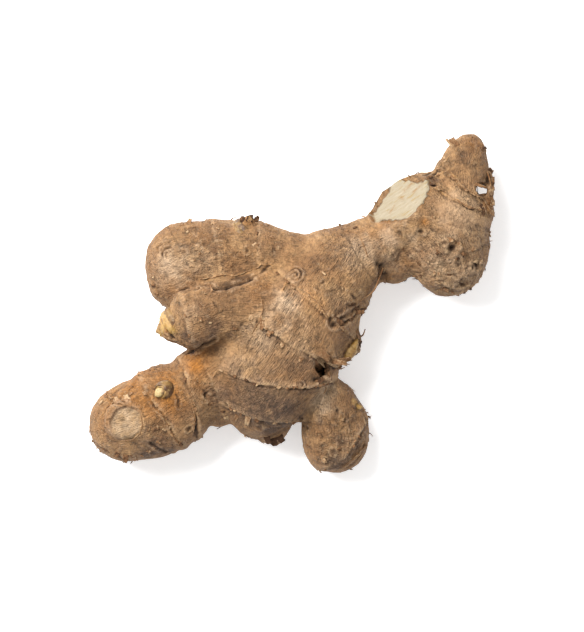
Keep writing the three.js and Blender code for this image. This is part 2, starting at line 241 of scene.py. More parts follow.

# Cracks, folds and clefts: [width, depth, how dark they are painted, mostly as painted shade, points as
# pixels]
CRACKS = {
    "cleft under the upper finger": [1.5, 1.9, 1.0, [(216, 288), (228, 286.5), (241, 282), (250, 279)]],
    "cleft's thin end": [0.8, 0.9, 0.95, [(250, 279), (257, 275.5), (262, 270), (268, 265.5)]],
    "cleft's end": [0.5, 0.4, 0.5, [(268, 265.5), (276, 263.5), (284, 262)]],
    "cleft's dark wall": [2.2, 0.5, 0.75, [(224, 284), (235, 280), (246, 276)]],
    "cleft's left end": [0.9, 1.0, 0.85, [(180, 292), (187, 288), (196, 289.5), (203, 284), (216, 288)]],
    "fold over the cleft": [0.8, 0.5, 0.5, [(198, 279), (208, 279), (218, 276), (227, 273)]],
    "second fold over the cleft": [0.7, 0.4, 0.5, [(231, 280), (236, 274), (246, 270), (258, 267)]],
    "under the stacked finger": [1.4, 1.5, 0.95, [(186, 349), (196, 349), (204, 345), (212, 341)]],
    "stacked finger's nick": [0.5, 0.35, 0.7, [(212, 302.5), (216, 308)]],
    "trunk's nick": [0.7, 0.6, 0.9, [(241, 324), (245, 321)]],
    "dark line below the dusty top": [0.5, 0.5, 0.8, [(318.5, 289), (321, 285), (324.5, 281)]],
    "short line above": [0.45, 0.35, 0.6, [(334, 268), (337.5, 263.5)]],
    "fold over the striped band": [
        0.7, 0.5, 0.55, [(318, 290), (328, 291), (340, 290.5), (349, 293), (355, 298)]
    ],
    "wrinkle patch, upper edge": [0.9, 0.7, 0.8, [(330, 322), (337, 313), (346, 307), (355, 304)]],
    "wrinkle patch, middle": [1.0, 0.9, 0.95, [(331, 325), (339, 320), (349, 314), (358, 308)]],
    "wrinkle patch, lower edge": [0.9, 0.8, 0.9, [(333, 327), (343, 323), (352, 319), (358, 314)]],
    "wrinkle patch, left end": [1.0, 0.8, 0.9, [(330, 317), (331, 322), (334, 327)]],
    "neck's fold": [0.5, 0.3, 0.4, [(356, 233), (362, 240), (366, 250), (371, 258)]],
    "cavity beside the knob": [3.0, 2.4, 1.0, [(382, 266), (382, 277)]],
    "cavity over the low finger": [2.4, 0.6, 0.95, [(315, 378), (319, 371), (322, 364), (322, 357)]],
    "cavity's right side": [1.4, 0.8, 0.95, [(329, 356), (331, 364), (328, 373)]],
    "cavity's lower lip": [1.0, 0.8, 0.9, [(316, 381), (323, 380), (328, 384)]],
    "torn end": [1.4, 1.0, 0.95, [(268, 441), (275, 443), (281, 440)]],
    "disc's torn hole": [1.0, 1.3, 1.0, [(115, 402), (118, 400)]],
    "disc's second hole": [0.7, 1.0, 0.95, [(117, 401.5), (120, 405)]],
    "disc's third hole": [0.6, 0.8, 0.9, [(122.5, 400), (125, 401)]],
    "crease beside the disc": [0.5, 0.35, 0.6, [(109, 406), (105, 411), (101, 418), (106, 425)]],
    "nick above the disc": [0.55, 0.4, 0.75, [(132.5, 385), (130, 390)]],
    "groove round the low bud": [0.7, 0.6, 0.95, [(164, 385), (167, 385), (171, 388)]],
    "left of the low bud": [0.5, 0.4, 0.9, [(157.5, 389), (158.5, 387)]],
    "line below the low bud": [0.7, 0.6, 0.85, [(176, 395), (178, 401), (178, 408)]],
    "first line across the finger": [
        0.6, 0.45, 0.65, [(161, 412), (166, 421), (171, 430), (175, 438), (180, 446)]
    ],
    "second line across the finger": [0.7, 0.5, 0.6, [(182, 387), (188, 400), (193, 411), (196, 419)]],
    "finger's edge": [1.0, 0.8, 0.95, [(196.5, 421), (196.5, 429), (196, 436)]],
    "finger's low fold": [0.8, 0.6, 0.8, [(151, 443), (156, 447.5), (163, 450), (167, 452)]],
    "finger's base line": [0.5, 0.35, 0.6, [(196, 381), (202, 388), (207, 394)]],
    "groove of the torn stub": [0.7, 0.9, 0.95, [(208, 392), (205.5, 396), (205.5, 401)]],
    "low finger's bottom folds": [0.6, 0.45, 0.75, [(113, 455), (120, 456), (127, 461), (133, 462)]],
    "finger's left folds": [0.7, 0.5, 0.8, [(98, 446), (106, 450), (114, 457)]],
    "low right finger's edge line": [0.8, 0.5, 0.6, [(368, 448), (361, 454), (354, 462), (345, 468)]],
    "low right finger's short line": [0.5, 0.4, 0.8, [(312, 419), (315.5, 422.5)]],
    "low right finger's left fold": [0.7, 0.5, 0.7, [(302, 418), (304, 425), (308, 428), (303, 434)]],
    "sprout's first slit": [0.7, 0.7, 0.9, [(161, 327), (163, 332), (166, 336)]],
    "sprout's second slit": [0.9, 0.8, 1.0, [(167.5, 331), (170, 335), (173, 338)]],
    "stub's fold": [0.6, 0.4, 0.6, [(441, 166), (450, 173)]],
    "eye scar's outer arc": [0.6, 0.4, 0.6, [(157, 253), (158, 247), (163, 243.5), (169, 243)]],
    "eye scar's inner arc": [0.7, 0.5, 0.75, [(161, 255), (161.5, 250.5), (166, 248), (172, 246)]],
    "upper finger's short line": [0.5, 0.3, 0.6, [(154.5, 265), (157.5, 270)]],
    "below the knob's first ring": [
        0.5, 0.5, 0.75, [(439, 170), (447, 174), (457, 182), (465, 190.5), (476, 197)]
    ],
    "below the knob's second ring": [
        0.45, 0.45, 0.7, [(436, 188.5), (445, 195), (455, 201), (468, 208.5), (481, 212)]
    ],
    "knob's third ring": [0.4, 0.3, 0.5, [(461, 216), (468, 221.5), (474, 225.5), (484, 227), (492, 229)]],
    "knob's low line": [0.5, 0.4, 0.6, [(467, 241), (475.5, 244.5), (484, 246)]],
    "knob's dark patch, upper end": [0.8, 0.8, 0.95, [(425, 175), (430, 172)]],
    "knob's dark patch, middle": [0.7, 0.6, 0.9, [(426, 181), (431, 184), (436, 184)]],
    "knob's dark patch, right end": [0.8, 0.7, 0.95, [(433, 174), (438, 169.5)]],
    "husk's fold": [0.7, 0.6, 0.8, [(484, 214), (482, 207), (485, 199)]],
    "snapped shoot's hollow": [1.0, 0.8, 0.95, [(489, 176), (488, 182)]],
    "knob's folds": [0.6, 0.45, 0.5, [(447, 275), (454, 274), (461, 279)]],
}

# Thin raised edges of old leaf scales: [width, height, points as pixels]
RIDGES = {
    "knob's first ring": [
        0.6, 0.6, [(438, 168), (447, 172), (456.5, 180), (465, 189), (476, 195), (484, 200.5), (490, 211)]
    ],
    "knob's second ring": [
        0.55, 0.55, [(436, 187), (446, 193.5), (455.5, 199.5), (468.5, 207), (480.5, 210)]
    ],
    "neck's dusty ring": [0.35, 0.3, [(356, 231), (361, 238), (365, 248), (368, 257)]],
    "rim of the eye": [0.45, 0.4, [(283, 290), (286, 283), (288, 279)]],
    "trunk's first ring": [0.55, 0.35, [(297, 287), (308, 294), (318, 303), (328, 316)]],
    "upper finger's overhang": [
        0.6, 0.5, [(200, 279), (213, 278), (226, 275), (236, 276), (250, 271), (262, 265)]
    ],
    "stacked finger's wall": [0.4, 0.35, [(262, 300), (263, 310), (259, 322), (252, 334)]],
    "low left finger's ring": [0.5, 0.45, [(156, 411), (163, 418), (169, 428), (175, 439), (181, 447)]],
    "low left finger's base": [0.35, 0.35, [(181, 385), (188, 398), (194, 410), (195, 420), (193, 432)]],
    "stem scar's rim": [0.6, 0.3, [(141, 416), (143, 425), (140, 434), (133, 440), (124, 441)]],
    "low right finger's ring": [0.4, 0.4, [(368, 444), (361, 451), (353, 459), (345, 466)]],
}

# Soft stains: [pixel across, pixel down, reach in pixels, amount]
OCHRE = {
    "neck of the low left finger": [165, 388, 20, 0.9],
    "where it joins the trunk": [196, 364, 15, 1.0],
    "its upper side": [137, 386, 18, 0.95],
    "its far side": [112, 400, 14, 0.5],
    "under the stacked finger": [190, 353, 8, 0.8],
    "trunk's first ring": [304, 297, 13, 0.55],
    "along that ring": [322, 309, 9, 0.5],
    "over the striped band": [293, 290, 8, 0.4],
    "spot on the knob": [424, 222, 5, 1.0],
    "upper finger's bud": [249, 219, 6, 0.9],
    "low eye": [301, 385, 8, 0.6],
    "snapped shoot": [489, 203, 7, 0.7],
    "rough side of the knob": [410, 261, 12, 0.45],
    "stacked finger's back": [264, 290, 14, 0.35],
    "sprout": [166, 327, 9, 0.7],
    "low right finger's bud": [357, 405, 4, 1.0],
    "neck": [368, 230, 10, 0.5],
    "low left finger's back": [145, 396, 22, 0.85],
    "its lines": [172, 405, 14, 0.6],
    "its left side": [104, 418, 12, 0.35],
    "husk at the gap": [489, 207, 9, 0.8],
    "stub's top": [474, 144, 9, 0.5],
    "below the upper finger's cleft": [270, 268, 8, 0.3],
    "over the cavity": [316, 348, 8, 0.35],
    "knob's lower half": [425, 255, 16, 0.35],
}
# Darker skin; on the cleft's wall, the third band, round the cavity, the low fingers' right sides and the
# knob's lower right and bottom, also painted shade
DUSKY_AND_PAINTED_SHADE = {
    "stacked finger": [228, 305, 25, 0.85],
    "stacked finger's top": [203, 314, 14, 0.45],
    "cleft's wall": [238, 277, 9, 0.7],
    "low left finger's right": [187, 416, 13, 0.8],
    "low left finger's middle": [160, 428, 12, 0.35],
    "low left finger's top": [152, 385, 13, 0.35],
    "third band": [294, 372, 14, 0.65],
    "second band": [320, 330, 12, 0.3],
    "neck": [308, 262, 16, 0.85],
    "striped band": [336, 299, 9, 0.5],
    "wrinkle patch": [341, 314, 9, 0.95],
    "stub": [466, 158, 13, 0.75],
    "stub's top": [474, 143, 8, 0.6],
    "knob's back": [462, 218, 14, 0.35],
    "low right finger's right": [359, 430, 10, 0.9],
    "low right finger's shoulder": [346, 400, 8, 0.5],
    "knob's lower right": [472, 283, 10, 0.4],
    "knob's bottom": [436, 287, 9, 0.45],
    "knob's dark patch": [431, 180, 8, 1.0],
    "round the cavity": [322, 362, 7, 0.9],
    "torn stub": [207, 397, 5, 0.6],
    "upper finger's halo": [273, 250, 7, 0.5],
    "upper finger's shadow": [243, 262, 9, 0.4],
}
# Paler skin, and painted light on the low right finger's neck
PALE_AND_PAINTED_LIGHT = {
    "tip of the upper finger": [170, 266, 15, 0.9],
    "upper finger's shoulder": [237, 222, 5, 1.0],
    "middle of the upper finger": [205, 262, 14, 0.3],
    "trunk's first band": [286, 302, 15, 0.85],
    "trunk's second band": [262, 335, 14, 0.55],
    "trunk's second band, left": [238, 362, 15, 0.15],
    "stem scar": [125, 424, 13, 1.0],
    "knob's left side": [390, 238, 8, 0.8],
    "knob's middle": [413, 238, 7, 0.7],
    "knob's smooth back": [462, 214, 24, 0.4],
    "neck's right side": [364, 250, 14, 0.7],
    # painted light: the low right finger's neck lies in the trunk's shadow and is painted pale
    "low right finger's neck": [318, 399, 13, 1.0],
    "its upper end": [322, 393, 10, 0.9],
    "knob's rough half": [432, 262, 24, 0.55],
    "knob's right side": [470, 272, 16, 0.5],
    "knob's bottom": [448, 288, 10, 0.4],
    "knob's left edge": [392, 256, 12, 0.5],
    "stacked finger's back": [195, 312, 10, 0.35],
}
# Greyer skin; on the stacked finger's side, the trunk below its third ring and at its end, right of the
# second band and on the low fingers' ends and underside, also painted shade on sides turned from the lamp
GREY_AND_PAINTED_SHADE = {
    "stacked finger's side": [211, 334, 9, 1.0],
    "beside it": [203, 344, 7, 0.7],
    "over it": [215, 327, 8, 0.8],
    "trunk below its third ring": [250, 405, 24, 0.9],
    "right of it": [287, 410, 20, 1.0],
    "left of it": [222, 394, 12, 0.8],
    "trunk's end": [270, 430, 16, 0.9],
    "right of the second band": [296, 370, 14, 0.5],
    "low right finger's end": [335, 462, 15, 0.85],
    "sprout's side": [186, 335, 7, 0.9],
    "low finger's underside": [152, 452, 17, 0.95],
    "upper finger's halo": [274, 252, 7, 0.5],
    "stub's purple patch": [462, 155, 5, 0.8],
    "low right finger's dark patch": [342, 440, 9, 0.6],
    "its lower patch": [333, 452, 5, 0.7],
    "knob's dark patch": [431, 180, 6, 1.0],
    "upper finger's first smear": [213, 248, 4, 0.5],
    "upper finger's second smear": [188, 255, 4, 0.35],
}
BANDED = {
    "trunk's first band": [288, 306, 18, 1.0],
    "trunk's second band": [262, 345, 22, 1.0],
    "its right end": [300, 347, 17, 1.0],
    "its left end": [232, 366, 13, 0.9],
    "trunk's third band": [268, 403, 26, 0.9],
    "neck": [352, 252, 17, 0.8],
    "striped band": [335, 300, 12, 1.0],
    "knob's back": [464, 213, 25, 0.9],
    "low right finger's neck": [318, 400, 14, 0.6],
    "under the stacked finger": [222, 350, 10, 0.6],
}
BUD_TIPS = {
    "sprout's first scale": [165, 325, 5, 1.0],
    "sprout's second scale": [172, 331, 5, 0.9],
    "sprout's tip": [161, 330, 4, 0.9],
    "low left finger's bud": [162.5, 393, 3.5, 1.0],
    "low right finger's bud": [357, 406, 3.5, 1.0],
    "upper finger's bud": [250, 217, 3.5, 0.8],
}
ROUGH = {
    "upper finger": [205, 250, 28, 0.75],
    "upper finger's base": [250, 243, 18, 0.5],
    "low right finger": [340, 432, 26, 0.9],
    "its tip": [332, 461, 16, 0.9],
    "knob's lower half": [432, 263, 24, 1.0],
    "knob's lower left": [398, 258, 16, 0.9],
    "knob's lower right": [466, 275, 20, 0.9],
    "knob's bottom": [447, 290, 14, 0.9],
    "low left finger's tip": [108, 446, 16, 0.6],
    "its underside": [150, 446, 15, 0.6],
    "its upper side": [150, 392, 20, 0.6],
    "neck": [342, 255, 22, 0.45],
    "knob's dark patch": [431, 180, 7, 1.0],
    "stub's far side": [478, 150, 10, 0.9],
    "stacked finger": [205, 320, 18, 0.5],
    "knob's right edge": [487, 243, 10, 0.9],
    "knob's low right edge": [481, 270, 10, 1.0],
    "knob's low edge": [466, 292, 10, 1.0],
    "husk at the gap": [489, 205, 9, 1.0],
    "snapped shoot": [489, 180, 8, 1.0],
}
STAINS = {
    "ochre": OCHRE,
    "pale_and_painted_light": PALE_AND_PAINTED_LIGHT,
    "grey_and_painted_shade": GREY_AND_PAINTED_SHADE,
    "dusky_and_painted_shade": DUSKY_AND_PAINTED_SHADE,
    "banded": BANDED,
    "bud": BUD_TIPS,
    "rough": ROUGH,
}

# What the photograph doesn't show: [size of its patches in millimetres, turn of the noise, start, gain]
UNDERSIDE = {
    "ochre": [15.0, 6, 0.15, 1.4],
    "pale_and_painted_light": [13.0, 7, 0.1, 1.2],
    "grey_and_painted_shade": [17.0, 17, 0.2, 1.3],
    "rough": [12.0, 5, -0.9, 0.55],
}

# Buds: where each grows, in the solid's own millimetres from its foot to its tip, and its sheaths from the
# outermost in, as [start, end, wide, narrow, age], where age 0 is yellow, 1 is brown and below 0 is pale
BUDS = {
    "sprout": [
        (-36.5, -6.0, 23.5),
        (-40.4, -8.6, 22.5),
        [
            [-2.6, 0.8, 5.0, 4.7, 0.8],
            [-0.8, 2.6, 4.6, 3.9, 0.35],
            [1.2, 4.2, 3.8, 3.1, 0.2],
            [3.0, 5.9, 2.9, 1.7, 0.45],
        ],
    ],
    "low_finger_bud": [
        (-39.8, -27.2, 24.0),
        (-41.7, -28.2, 27.2),
        [[-1.5, 2.5, 2.7, 2.3, 0.9], [-0.5, 2.9, 2.2, 1.8, 0.45], [0.5, 4.2, 1.8, 0.8, -0.5]],
    ],
    "right_shoulder_bud": [
        (17.8, -17.2, 19.0),
        (22.2, -10.8, 19.4),
        [[0.0, 4.2, 1.2, 1.6, 0.4], [2.4, 7.0, 1.5, 0.4, 0.3]],
    ],
    "upper_finger_bud": [
        (-14.0, 24.0, 15.0),
        (-13.2, 27.0, 17.0),
        [[-1.5, 1.2, 4.8, 4.0, 0.65], [0.2, 2.6, 3.7, 2.7, 0.9], [1.6, 3.9, 2.4, 0.6, 0.25]],
    ],
    "low_right_finger_bud": [
        (18.8, -31.8, 14.2),
        (21.4, -32.8, 14.8),
        [[-0.6, 2.6, 2.6, 2.1, 0.9], [1.2, 4.2, 1.9, 0.5, 0.5]],
    ],
}

# Torn husk: where each shred is rooted and where its tip lies, as pixels, then its width, how far its tip
# stands off the skin, and its tone from 0, dark, to 1, pale
SHREDS = {
    "pale lip of the cavity": [(311, 352), (325, 364), 3.4, 0.9, 0.75],
    "second lip of the cavity": [(318, 350), (331, 360), 3.0, 1.2, 0.55],
    "papery flake": [(326, 365), (350, 358), 2.6, 0.6, 0.45],
    "flake under it": [(325, 369), (341, 364), 2.4, 0.2, 0.25],
    "flake beside it": [(329, 360), (347, 364), 1.8, 0.2, 0.6],
    "flake over the cavity's rim": [(314, 362), (321, 372), 2.2, 0.5, 0.3],
    "torn rim, left": [(311, 369), (318, 377), 1.8, 0.5, 0.4],
    "torn rim, low": [(316, 383), (324, 378), 1.8, 0.7, 0.2],
    "torn rim, right": [(333, 376), (326, 370), 1.6, 0.7, 0.25],
    "splinter over the cavity": [(323, 353), (321, 370), 1.2, 0.7, 0.35],
    "cavity's far lip": [(310, 382), (322, 373), 2.4, 0.8, 0.5],
    "cavity's last flake": [(331, 382), (329, 372), 1.8, 0.9, 0.35],
    "stub's left shred": [(454, 147), (446, 139), 1.4, 0.4, 0.75],
    "stub's peel": [(456, 143), (449, 140), 1.6, 0.3, 0.55],
    "stub's second shred": [(458, 146), (452, 138), 1.5, 0.6, 0.5],
    "stub's middle shred": [(465, 144), (463, 136), 1.5, 0.4, 0.6],
    "stub's right shred": [(472, 144), (473, 137), 1.6, 0.4, 0.35],
    "stub's far shred": [(479, 150), (484, 145), 1.6, 0.6, 0.3],
    "torn end, left": [(267, 437), (269, 444), 2.2, 0.4, 0.0],
    "torn end, middle": [(273, 438), (275, 446), 2.8, 0.4, 0.1],
    "torn end, right": [(279, 436), (283, 442), 2.4, 0.5, -0.05],
    "torn end, far": [(262, 431), (262, 438), 1.6, 0.3, 0.3],
    "fray under the finger, left": [(118, 452), (116, 458), 1.8, 0.4, 0.3],
    "fray under the finger": [(126, 455), (125, 463), 1.8, 0.6, 0.3],
    "fray under the finger, right": [(133, 455), (136, 460), 1.8, 0.4, 0.35],
    "peel on the finger's tip": [(104, 438), (97, 447), 2.4, 0.5, 0.7],
    "second peel": [(110, 446), (105, 452), 2.0, 0.5, 0.4],
    "disc's torn rim": [(121, 404), (114, 398), 2.0, 0.6, 0.7],
    "disc's torn rim, right": [(129, 403), (126, 395), 2.2, 0.5, 0.85],
    "upper bud's left shred": [(244, 222), (241, 217), 1.8, 0.3, 0.1],
    "upper bud's shred": [(249, 222), (250, 215), 2.2, 0.3, -0.1],
    "upper bud's right shred": [(255, 222), (258, 216), 1.8, 0.4, 0.1],
    "upper bud's low shred": [(257, 229), (262, 224), 1.4, 0.5, 0.4],
    "crumb on the back": [(189, 223), (191, 219), 1.8, 0.4, 0.6],
    "crumb at the tip": [(166, 231), (164, 228), 1.8, 0.3, 0.35],
    "husk along the gap": [(488, 180), (492, 199), 1.5, 0.2, 0.35],
    "husk below the gap": [(487, 196), (491, 214), 2.2, 0.2, 0.45],
    "second husk below the gap": [(480, 203), (484, 216), 2.2, 0.5, 0.2],
    "strand through the gap": [(476, 197), (486, 194), 0.9, 0.3, 0.3],
    "strand above the gap": [(475, 184), (486, 188), 1.0, 0.2, 0.5],
    "shoot's ragged top": [(489, 174), (492, 169), 2.4, 0.2, 0.2],
    "shoot's ragged side": [(491, 181), (496, 180), 2.6, 0.1, 0.35],
    "shoot's foot": [(491, 187), (495, 189), 1.8, 0.1, 0.45],
    # painted light: pale tones on the husk's tips at the knob's right edge, a side turned from the lamp
    "husk's upper tip": [(490, 195), (492, 189), 2.0, 0.1, 0.8],
    "husk's ragged side": [(491, 202), (496, 204), 2.6, 0.1, 0.75],
    "husk's lower side": [(491, 211), (495, 215), 2.6, 0.1, 0.7],
    "shoulder bud's dark edge": [(358, 352), (361.5, 341), 1.5, 0.3, -0.1],
    "shoulder bud's dark foot": [(352, 357), (359, 350), 1.6, 0.2, -0.1],
    "nub on the edge": [(357, 309), (367, 307), 2.2, 0.6, 0.15],
    "second nub on the edge": [(356, 312), (365, 312), 1.6, 0.4, 0.3],
    "wrinkle patch, lower": [(333, 319), (344, 325), 2.4, 0.9, 0.25],
    "wrinkle patch, middle": [(342, 311), (353, 319), 2.6, 0.9, 0.4],
    "wrinkle patch, upper": [(350, 305), (359, 312), 2.2, 0.8, 0.2],
    "shoulder's edge": [(356, 330), (360, 339), 1.8, 0.8, 0.5],
    "second ring, left": [(270, 331), (268, 337), 1.4, 0.4, 0.6],
    "second ring, middle": [(283, 343), (281, 348), 1.3, 0.3, 0.7],
    "second ring, right": [(303, 356), (300, 362), 1.6, 0.4, 0.6],
    "beside the root bud": [(254, 312), (250, 320), 1.8, 0.5, 0.7],
    "beside the root bud, below": [(262, 318), (262, 330), 1.6, 0.5, 0.45],
    "pale flake on the neck": [(321, 271), (326, 275), 0.6, 0.4, 0.75],
    "low ring, left": [(230, 411), (227, 418), 1.7, 0.5, 0.75],
    "low ring, middle": [(238, 414), (235, 421), 1.7, 0.5, 0.55],
    "low ring, right": [(248, 417), (247, 425), 1.7, 0.5, 0.75],
    "stacked finger's bump": [(201, 286), (206, 294), 1.8, 0.5, 0.8],
    "second bump": [(208, 284), (212, 291), 1.6, 0.5, 0.5],
    "knob's bottom shred": [(441, 288), (449, 291), 1.8, 0.5, 0.5],
    "rim of the large scar": [(447, 240), (454, 240), 1.6, 0.5, 0.6],
    "rim of the white scar": [(471, 260), (478, 262), 1.4, 0.4, 1.0],
    "low right finger's stub": [(322, 457), (326, 463), 1.4, 0.7, 0.8],
}
RING_TATTERS = 130  # on the rings
SCURF_FLAKES = 420  # where the skin is rough

# Root hairs that the photograph shows: [points as pixels, radius at the first of them]
HAIRS = {
    "hair from knob to trunk": [[(383, 268), (378, 281), (375, 290), (367, 297), (360, 301)], 0.32],
    "hair on the stub": [[(487, 172), (490, 178), (491, 187)], 0.3],
}
SHORT_HAIRS = 34  # on the sides and the underside
SWEPT_RADIUS = 0.5  # of the round that is swept along a hair, scaled at each point to its own radius


def as_pixel_ray(pixel):
    """Where the camera stands and the direction in which it sees a pixel of the photograph."""
    across, down = pixel
    eye = camera_place()
    table = Vector(
        ((across - ORIGIN_PIXEL[0]) * PIXEL, (ORIGIN_PIXEL[1] - down) * PIXEL, SHARP_HEIGHT)
    )
    return eye, (table - eye).normalized()


def seen_at(places):
    """The pixel of the photograph at which the camera sees each place."""
    eye = np.array(camera_place())
    spread = (CAMERA_HEIGHT - SHARP_HEIGHT) / (CAMERA_HEIGHT - places[:, 2])
    table = eye[:2] + (places[:, :2] - eye[:2]) * spread[:, None]
    return np.array(ORIGIN_PIXEL) + table * (1 / PIXEL, -1 / PIXEL)


def camera_place():
    """The camera looks straight down on the middle of the photograph's frame."""
    return Vector(
        (
            (PHOTO_SIZE[0] / 2 - ORIGIN_PIXEL[0]) * PIXEL,
            (ORIGIN_PIXEL[1] - PHOTO_SIZE[1] / 2) * PIXEL,
            CAMERA_HEIGHT,
        )
    )


# Repeatable noise

DICE = np.random.default_rng(SEED)
SHUFFLED = DICE.permutation(256)
SLOPES = DICE.normal(size=(256, 3))
SLOPES /= np.linalg.norm(SLOPES, axis=1)[:, None]


def noise(points, size, turn=0):
    """Smooth noise of about -1 to 1, with bumps about size across, at points."""
    place = points / size + 31.7 * (turn + 1)
    cell = np.floor(place).astype(np.int64)
    inside = place - cell
    fade = inside**3 * (inside * (inside * 6 - 15) + 10)
    total = np.zeros(len(points))
    for corner in itertools.product((0, 1), repeat=3):
        at = (cell + corner) & 255
        pick = SHUFFLED[(SHUFFLED[(SHUFFLED[at[:, 0]] + at[:, 1]) & 255] + at[:, 2]) & 255]
        share = np.where(corner, fade, 1 - fade).prod(1)
        total += share * (SLOPES[pick] * (inside - corner)).sum(1)
    return 1.6 * total


def smooth_step(low, high, values):
    share = np.clip((values - low) / (high - low), 0, 1)
    return share * share * (3 - 2 * share)


# The even skin

def even_copy(source, name):
    """A copy of a CAD node on an even mesh, so that small relief can be moved out of it."""
    piece = bpy.data.objects.new(name, source.data.copy())
    bpy.context.scene.collection.objects.link(piece)
    form = bmesh.new()
    form.from_mesh(piece.data)
    bmesh.ops.remove_doubles(form, verts=form.verts, dist=1e-6)
    form.to_mesh(piece.data)
    form.free()
    even = piece.modifiers.new("even", "REMESH")
    even.mode = "VOXEL"
    even.voxel_size = VOXEL * MM
    depsgraph = bpy.context.evaluated_depsgraph_get()
    mesh = bpy.data.meshes.new_from_object(piece.evaluated_get(depsgraph))
    piece.modifiers.clear()
    piece.data = mesh
    mesh.name = name
    return piece


def thin_out(piece, share):
    """Leaves only a share of the piece's triangles, fewest where it is smoothest."""
    thin = piece.modifiers.new("thin", "DECIMATE")
    thin.ratio = share
    depsgraph = bpy.context.evaluated_depsgraph_get()
    mesh = bpy.data.meshes.new_from_object(
        piece.evaluated_get(depsgraph), preserve_all_data_layers=True, depsgraph=depsgraph
    )
    piece.modifiers.clear()
    piece.data = mesh


def places_of(mesh):
    places = np.empty(len(mesh.vertices) * 3)
    mesh.vertices.foreach_get("co", places)
    return places.reshape(-1, 3) / MM


def set_places(mesh, places):
    mesh.vertices.foreach_set("co", (places * MM).ravel())
    mesh.update()


def normals_of(mesh):
    normals = np.empty(len(mesh.vertices) * 3)
    mesh.vertex_normals.foreach_get("vector", normals)
    return normals.reshape(-1, 3)


def edges_of(mesh):
    edges = np.empty(len(mesh.edges) * 2, np.int32)
    mesh.edges.foreach_get("vertices", edges)
    return edges.reshape(-1, 2)


def blurred(values, edges, rounds):
    """The values of each vertex, moved half way to the mean of its neighbours, a number of times."""
    flat = values.reshape(len(values), -1).copy()
    a, b = edges.T
    size = len(flat)
    count = np.bincount(edges.ravel(), minlength=size)[:, None]
    for _ in range(rounds):
        around = np.stack(
            [
                np.bincount(a, column[b], size) + np.bincount(b, column[a], size)
                for column in flat.T
            ],
            axis=1,
        )
        flat += 0.5 * (around / count - flat)
    return flat.reshape(values.shape)


def in_box(places):
    """The places, held inside the CAD model's box."""
    low, high = np.array(CAD_BOX) / MM
    return places.clip(low + 0.01, high - 0.01)


def write_attribute(mesh, name, values):
    kind = "FLOAT" if values.ndim == 1 else "FLOAT_VECTOR"
    field = "value" if values.ndim == 1 else "vector"
    layer = mesh.attributes.new(name, kind, "POINT")
    layer.data.foreach_set(field, np.ascontiguousarray(values, np.float32).ravel())


# Where each vertex lies on the plant

def lobe_frames(places):
    """For each vertex the lobe it belongs to, and its place across, up and along that lobe's spine."""
    nearest = np.full(len(places), np.inf)
    owner = np.zeros(len(places), int)
    grain = np.zeros((len(places), 3))
    per_lobe = []
    for number, lobe in enumerate(LOBES.values()):
        stations = np.array(lobe["spine"])
        stations[:, :3] -= LOBES_MIDDLE
        own_nearest = np.full(len(places), np.inf)
        along_so_far = 0.0
        for start, end in zip(stations[:-1], stations[1:]):
            axis = end[:3] - start[:3]
            length = np.linalg.norm(axis)
            axis /= length
            offset = places - start[:3]
            share = np.clip(offset @ axis / length, 0, 1)
            offset -= share[:, None] * axis * length
            away = np.linalg.norm(offset, axis=1) - (start[3] + share * (end[3] - start[3]))
            side = np.cross((0, 0, 1), axis)
            side /= np.linalg.norm(side)
            up = np.cross(axis, side)
            closer = away < nearest
            nearest[closer] = away[closer]
            owner[closer] = number
            beyond = (places - start[:3]) @ axis
            run = along_so_far + np.where((share > 0) & (share < 1), share * length, beyond)
            grain[closer] = np.stack([offset @ side, offset @ up, run], 1)[closer]
            own_nearest = np.minimum(own_nearest, away)
            along_so_far += length
        per_lobe.append(own_nearest)
    return grain + owner[:, None] * 40.0, nearest, per_lobe


def ring_distances(places, nearest, per_lobe):
    """The signed distance past the nearest leaf-scar ring, how strong it is there, and which way it faces."""
    wobble = 0.9 * noise(places, 9.0, 1) + 0.35 * noise(places, 2.4, 2) + 0.16 * noise(places, 0.9, 3)
    past_ring = np.full(len(places), 20.0)
    strength = np.zeros(len(places))
    growth = np.zeros((len(places), 3))
    for lobe, own_nearest in zip(LOBES.values(), per_lobe):
        belongs = smooth_step(3.0, 1.0, own_nearest - nearest)
        for at, facing, force in lobe["rings"]:
            facing = np.array(facing) / np.linalg.norm(facing)
            past = (places - (np.array(at) - LOBES_MIDDLE)) @ facing + wobble
            wins = (np.abs(past) < np.abs(past_ring)) & (belongs > 0.02)
            past_ring[wins] = past[wins]
            strength[wins] = (force * belongs)[wins]
            growth[wins] = facing
    strength *= 0.75 + 0.45 * noise(places, 7.0, 4)
    return past_ring, np.clip(strength, 0, 1.4), growth


def distance_to_path(places, path):
    """Each place's distance to a line through points."""
    least = np.full(len(places), np.inf)
    for start, end in zip(path[:-1], path[1:]):
        axis = end - start
        share = np.clip((places - start) @ axis / max(axis @ axis, 1e-9), 0, 1)
        least = np.minimum(least, np.linalg.norm(places - start - share[:, None] * axis, axis=1))
    return least


def touched(tree, pixel):
    """The point of the skin that a pixel of the photograph shows."""
    eye, direction = as_pixel_ray(pixel)
    hit = tree.ray_cast(eye, direction)[0]
    if hit is None:
        hit = tree.find_nearest(eye + direction * (CAMERA_HEIGHT - SHARP_HEIGHT))[0]
    return np.array(hit)


def stained(places, tree, stains):
    """A soft mask of 0 to 1 round each stain's place, with ragged edges."""
    ragged = 1 + 0.5 * noise(places, 4.0, 8) + 0.3 * noise(places, 1.6, 9)
    mask = np.zeros(len(places))
    for across, down, reach, amount in stains.values():
        away = np.linalg.norm(places - touched(tree, (across, down)), axis=1)
        share = amount * np.exp(-((away / (reach * PIXEL) * ragged.clip(0.4)) ** 2))
        mask = 1 - (1 - mask) * (1 - share.clip(0, 1))
    return mask


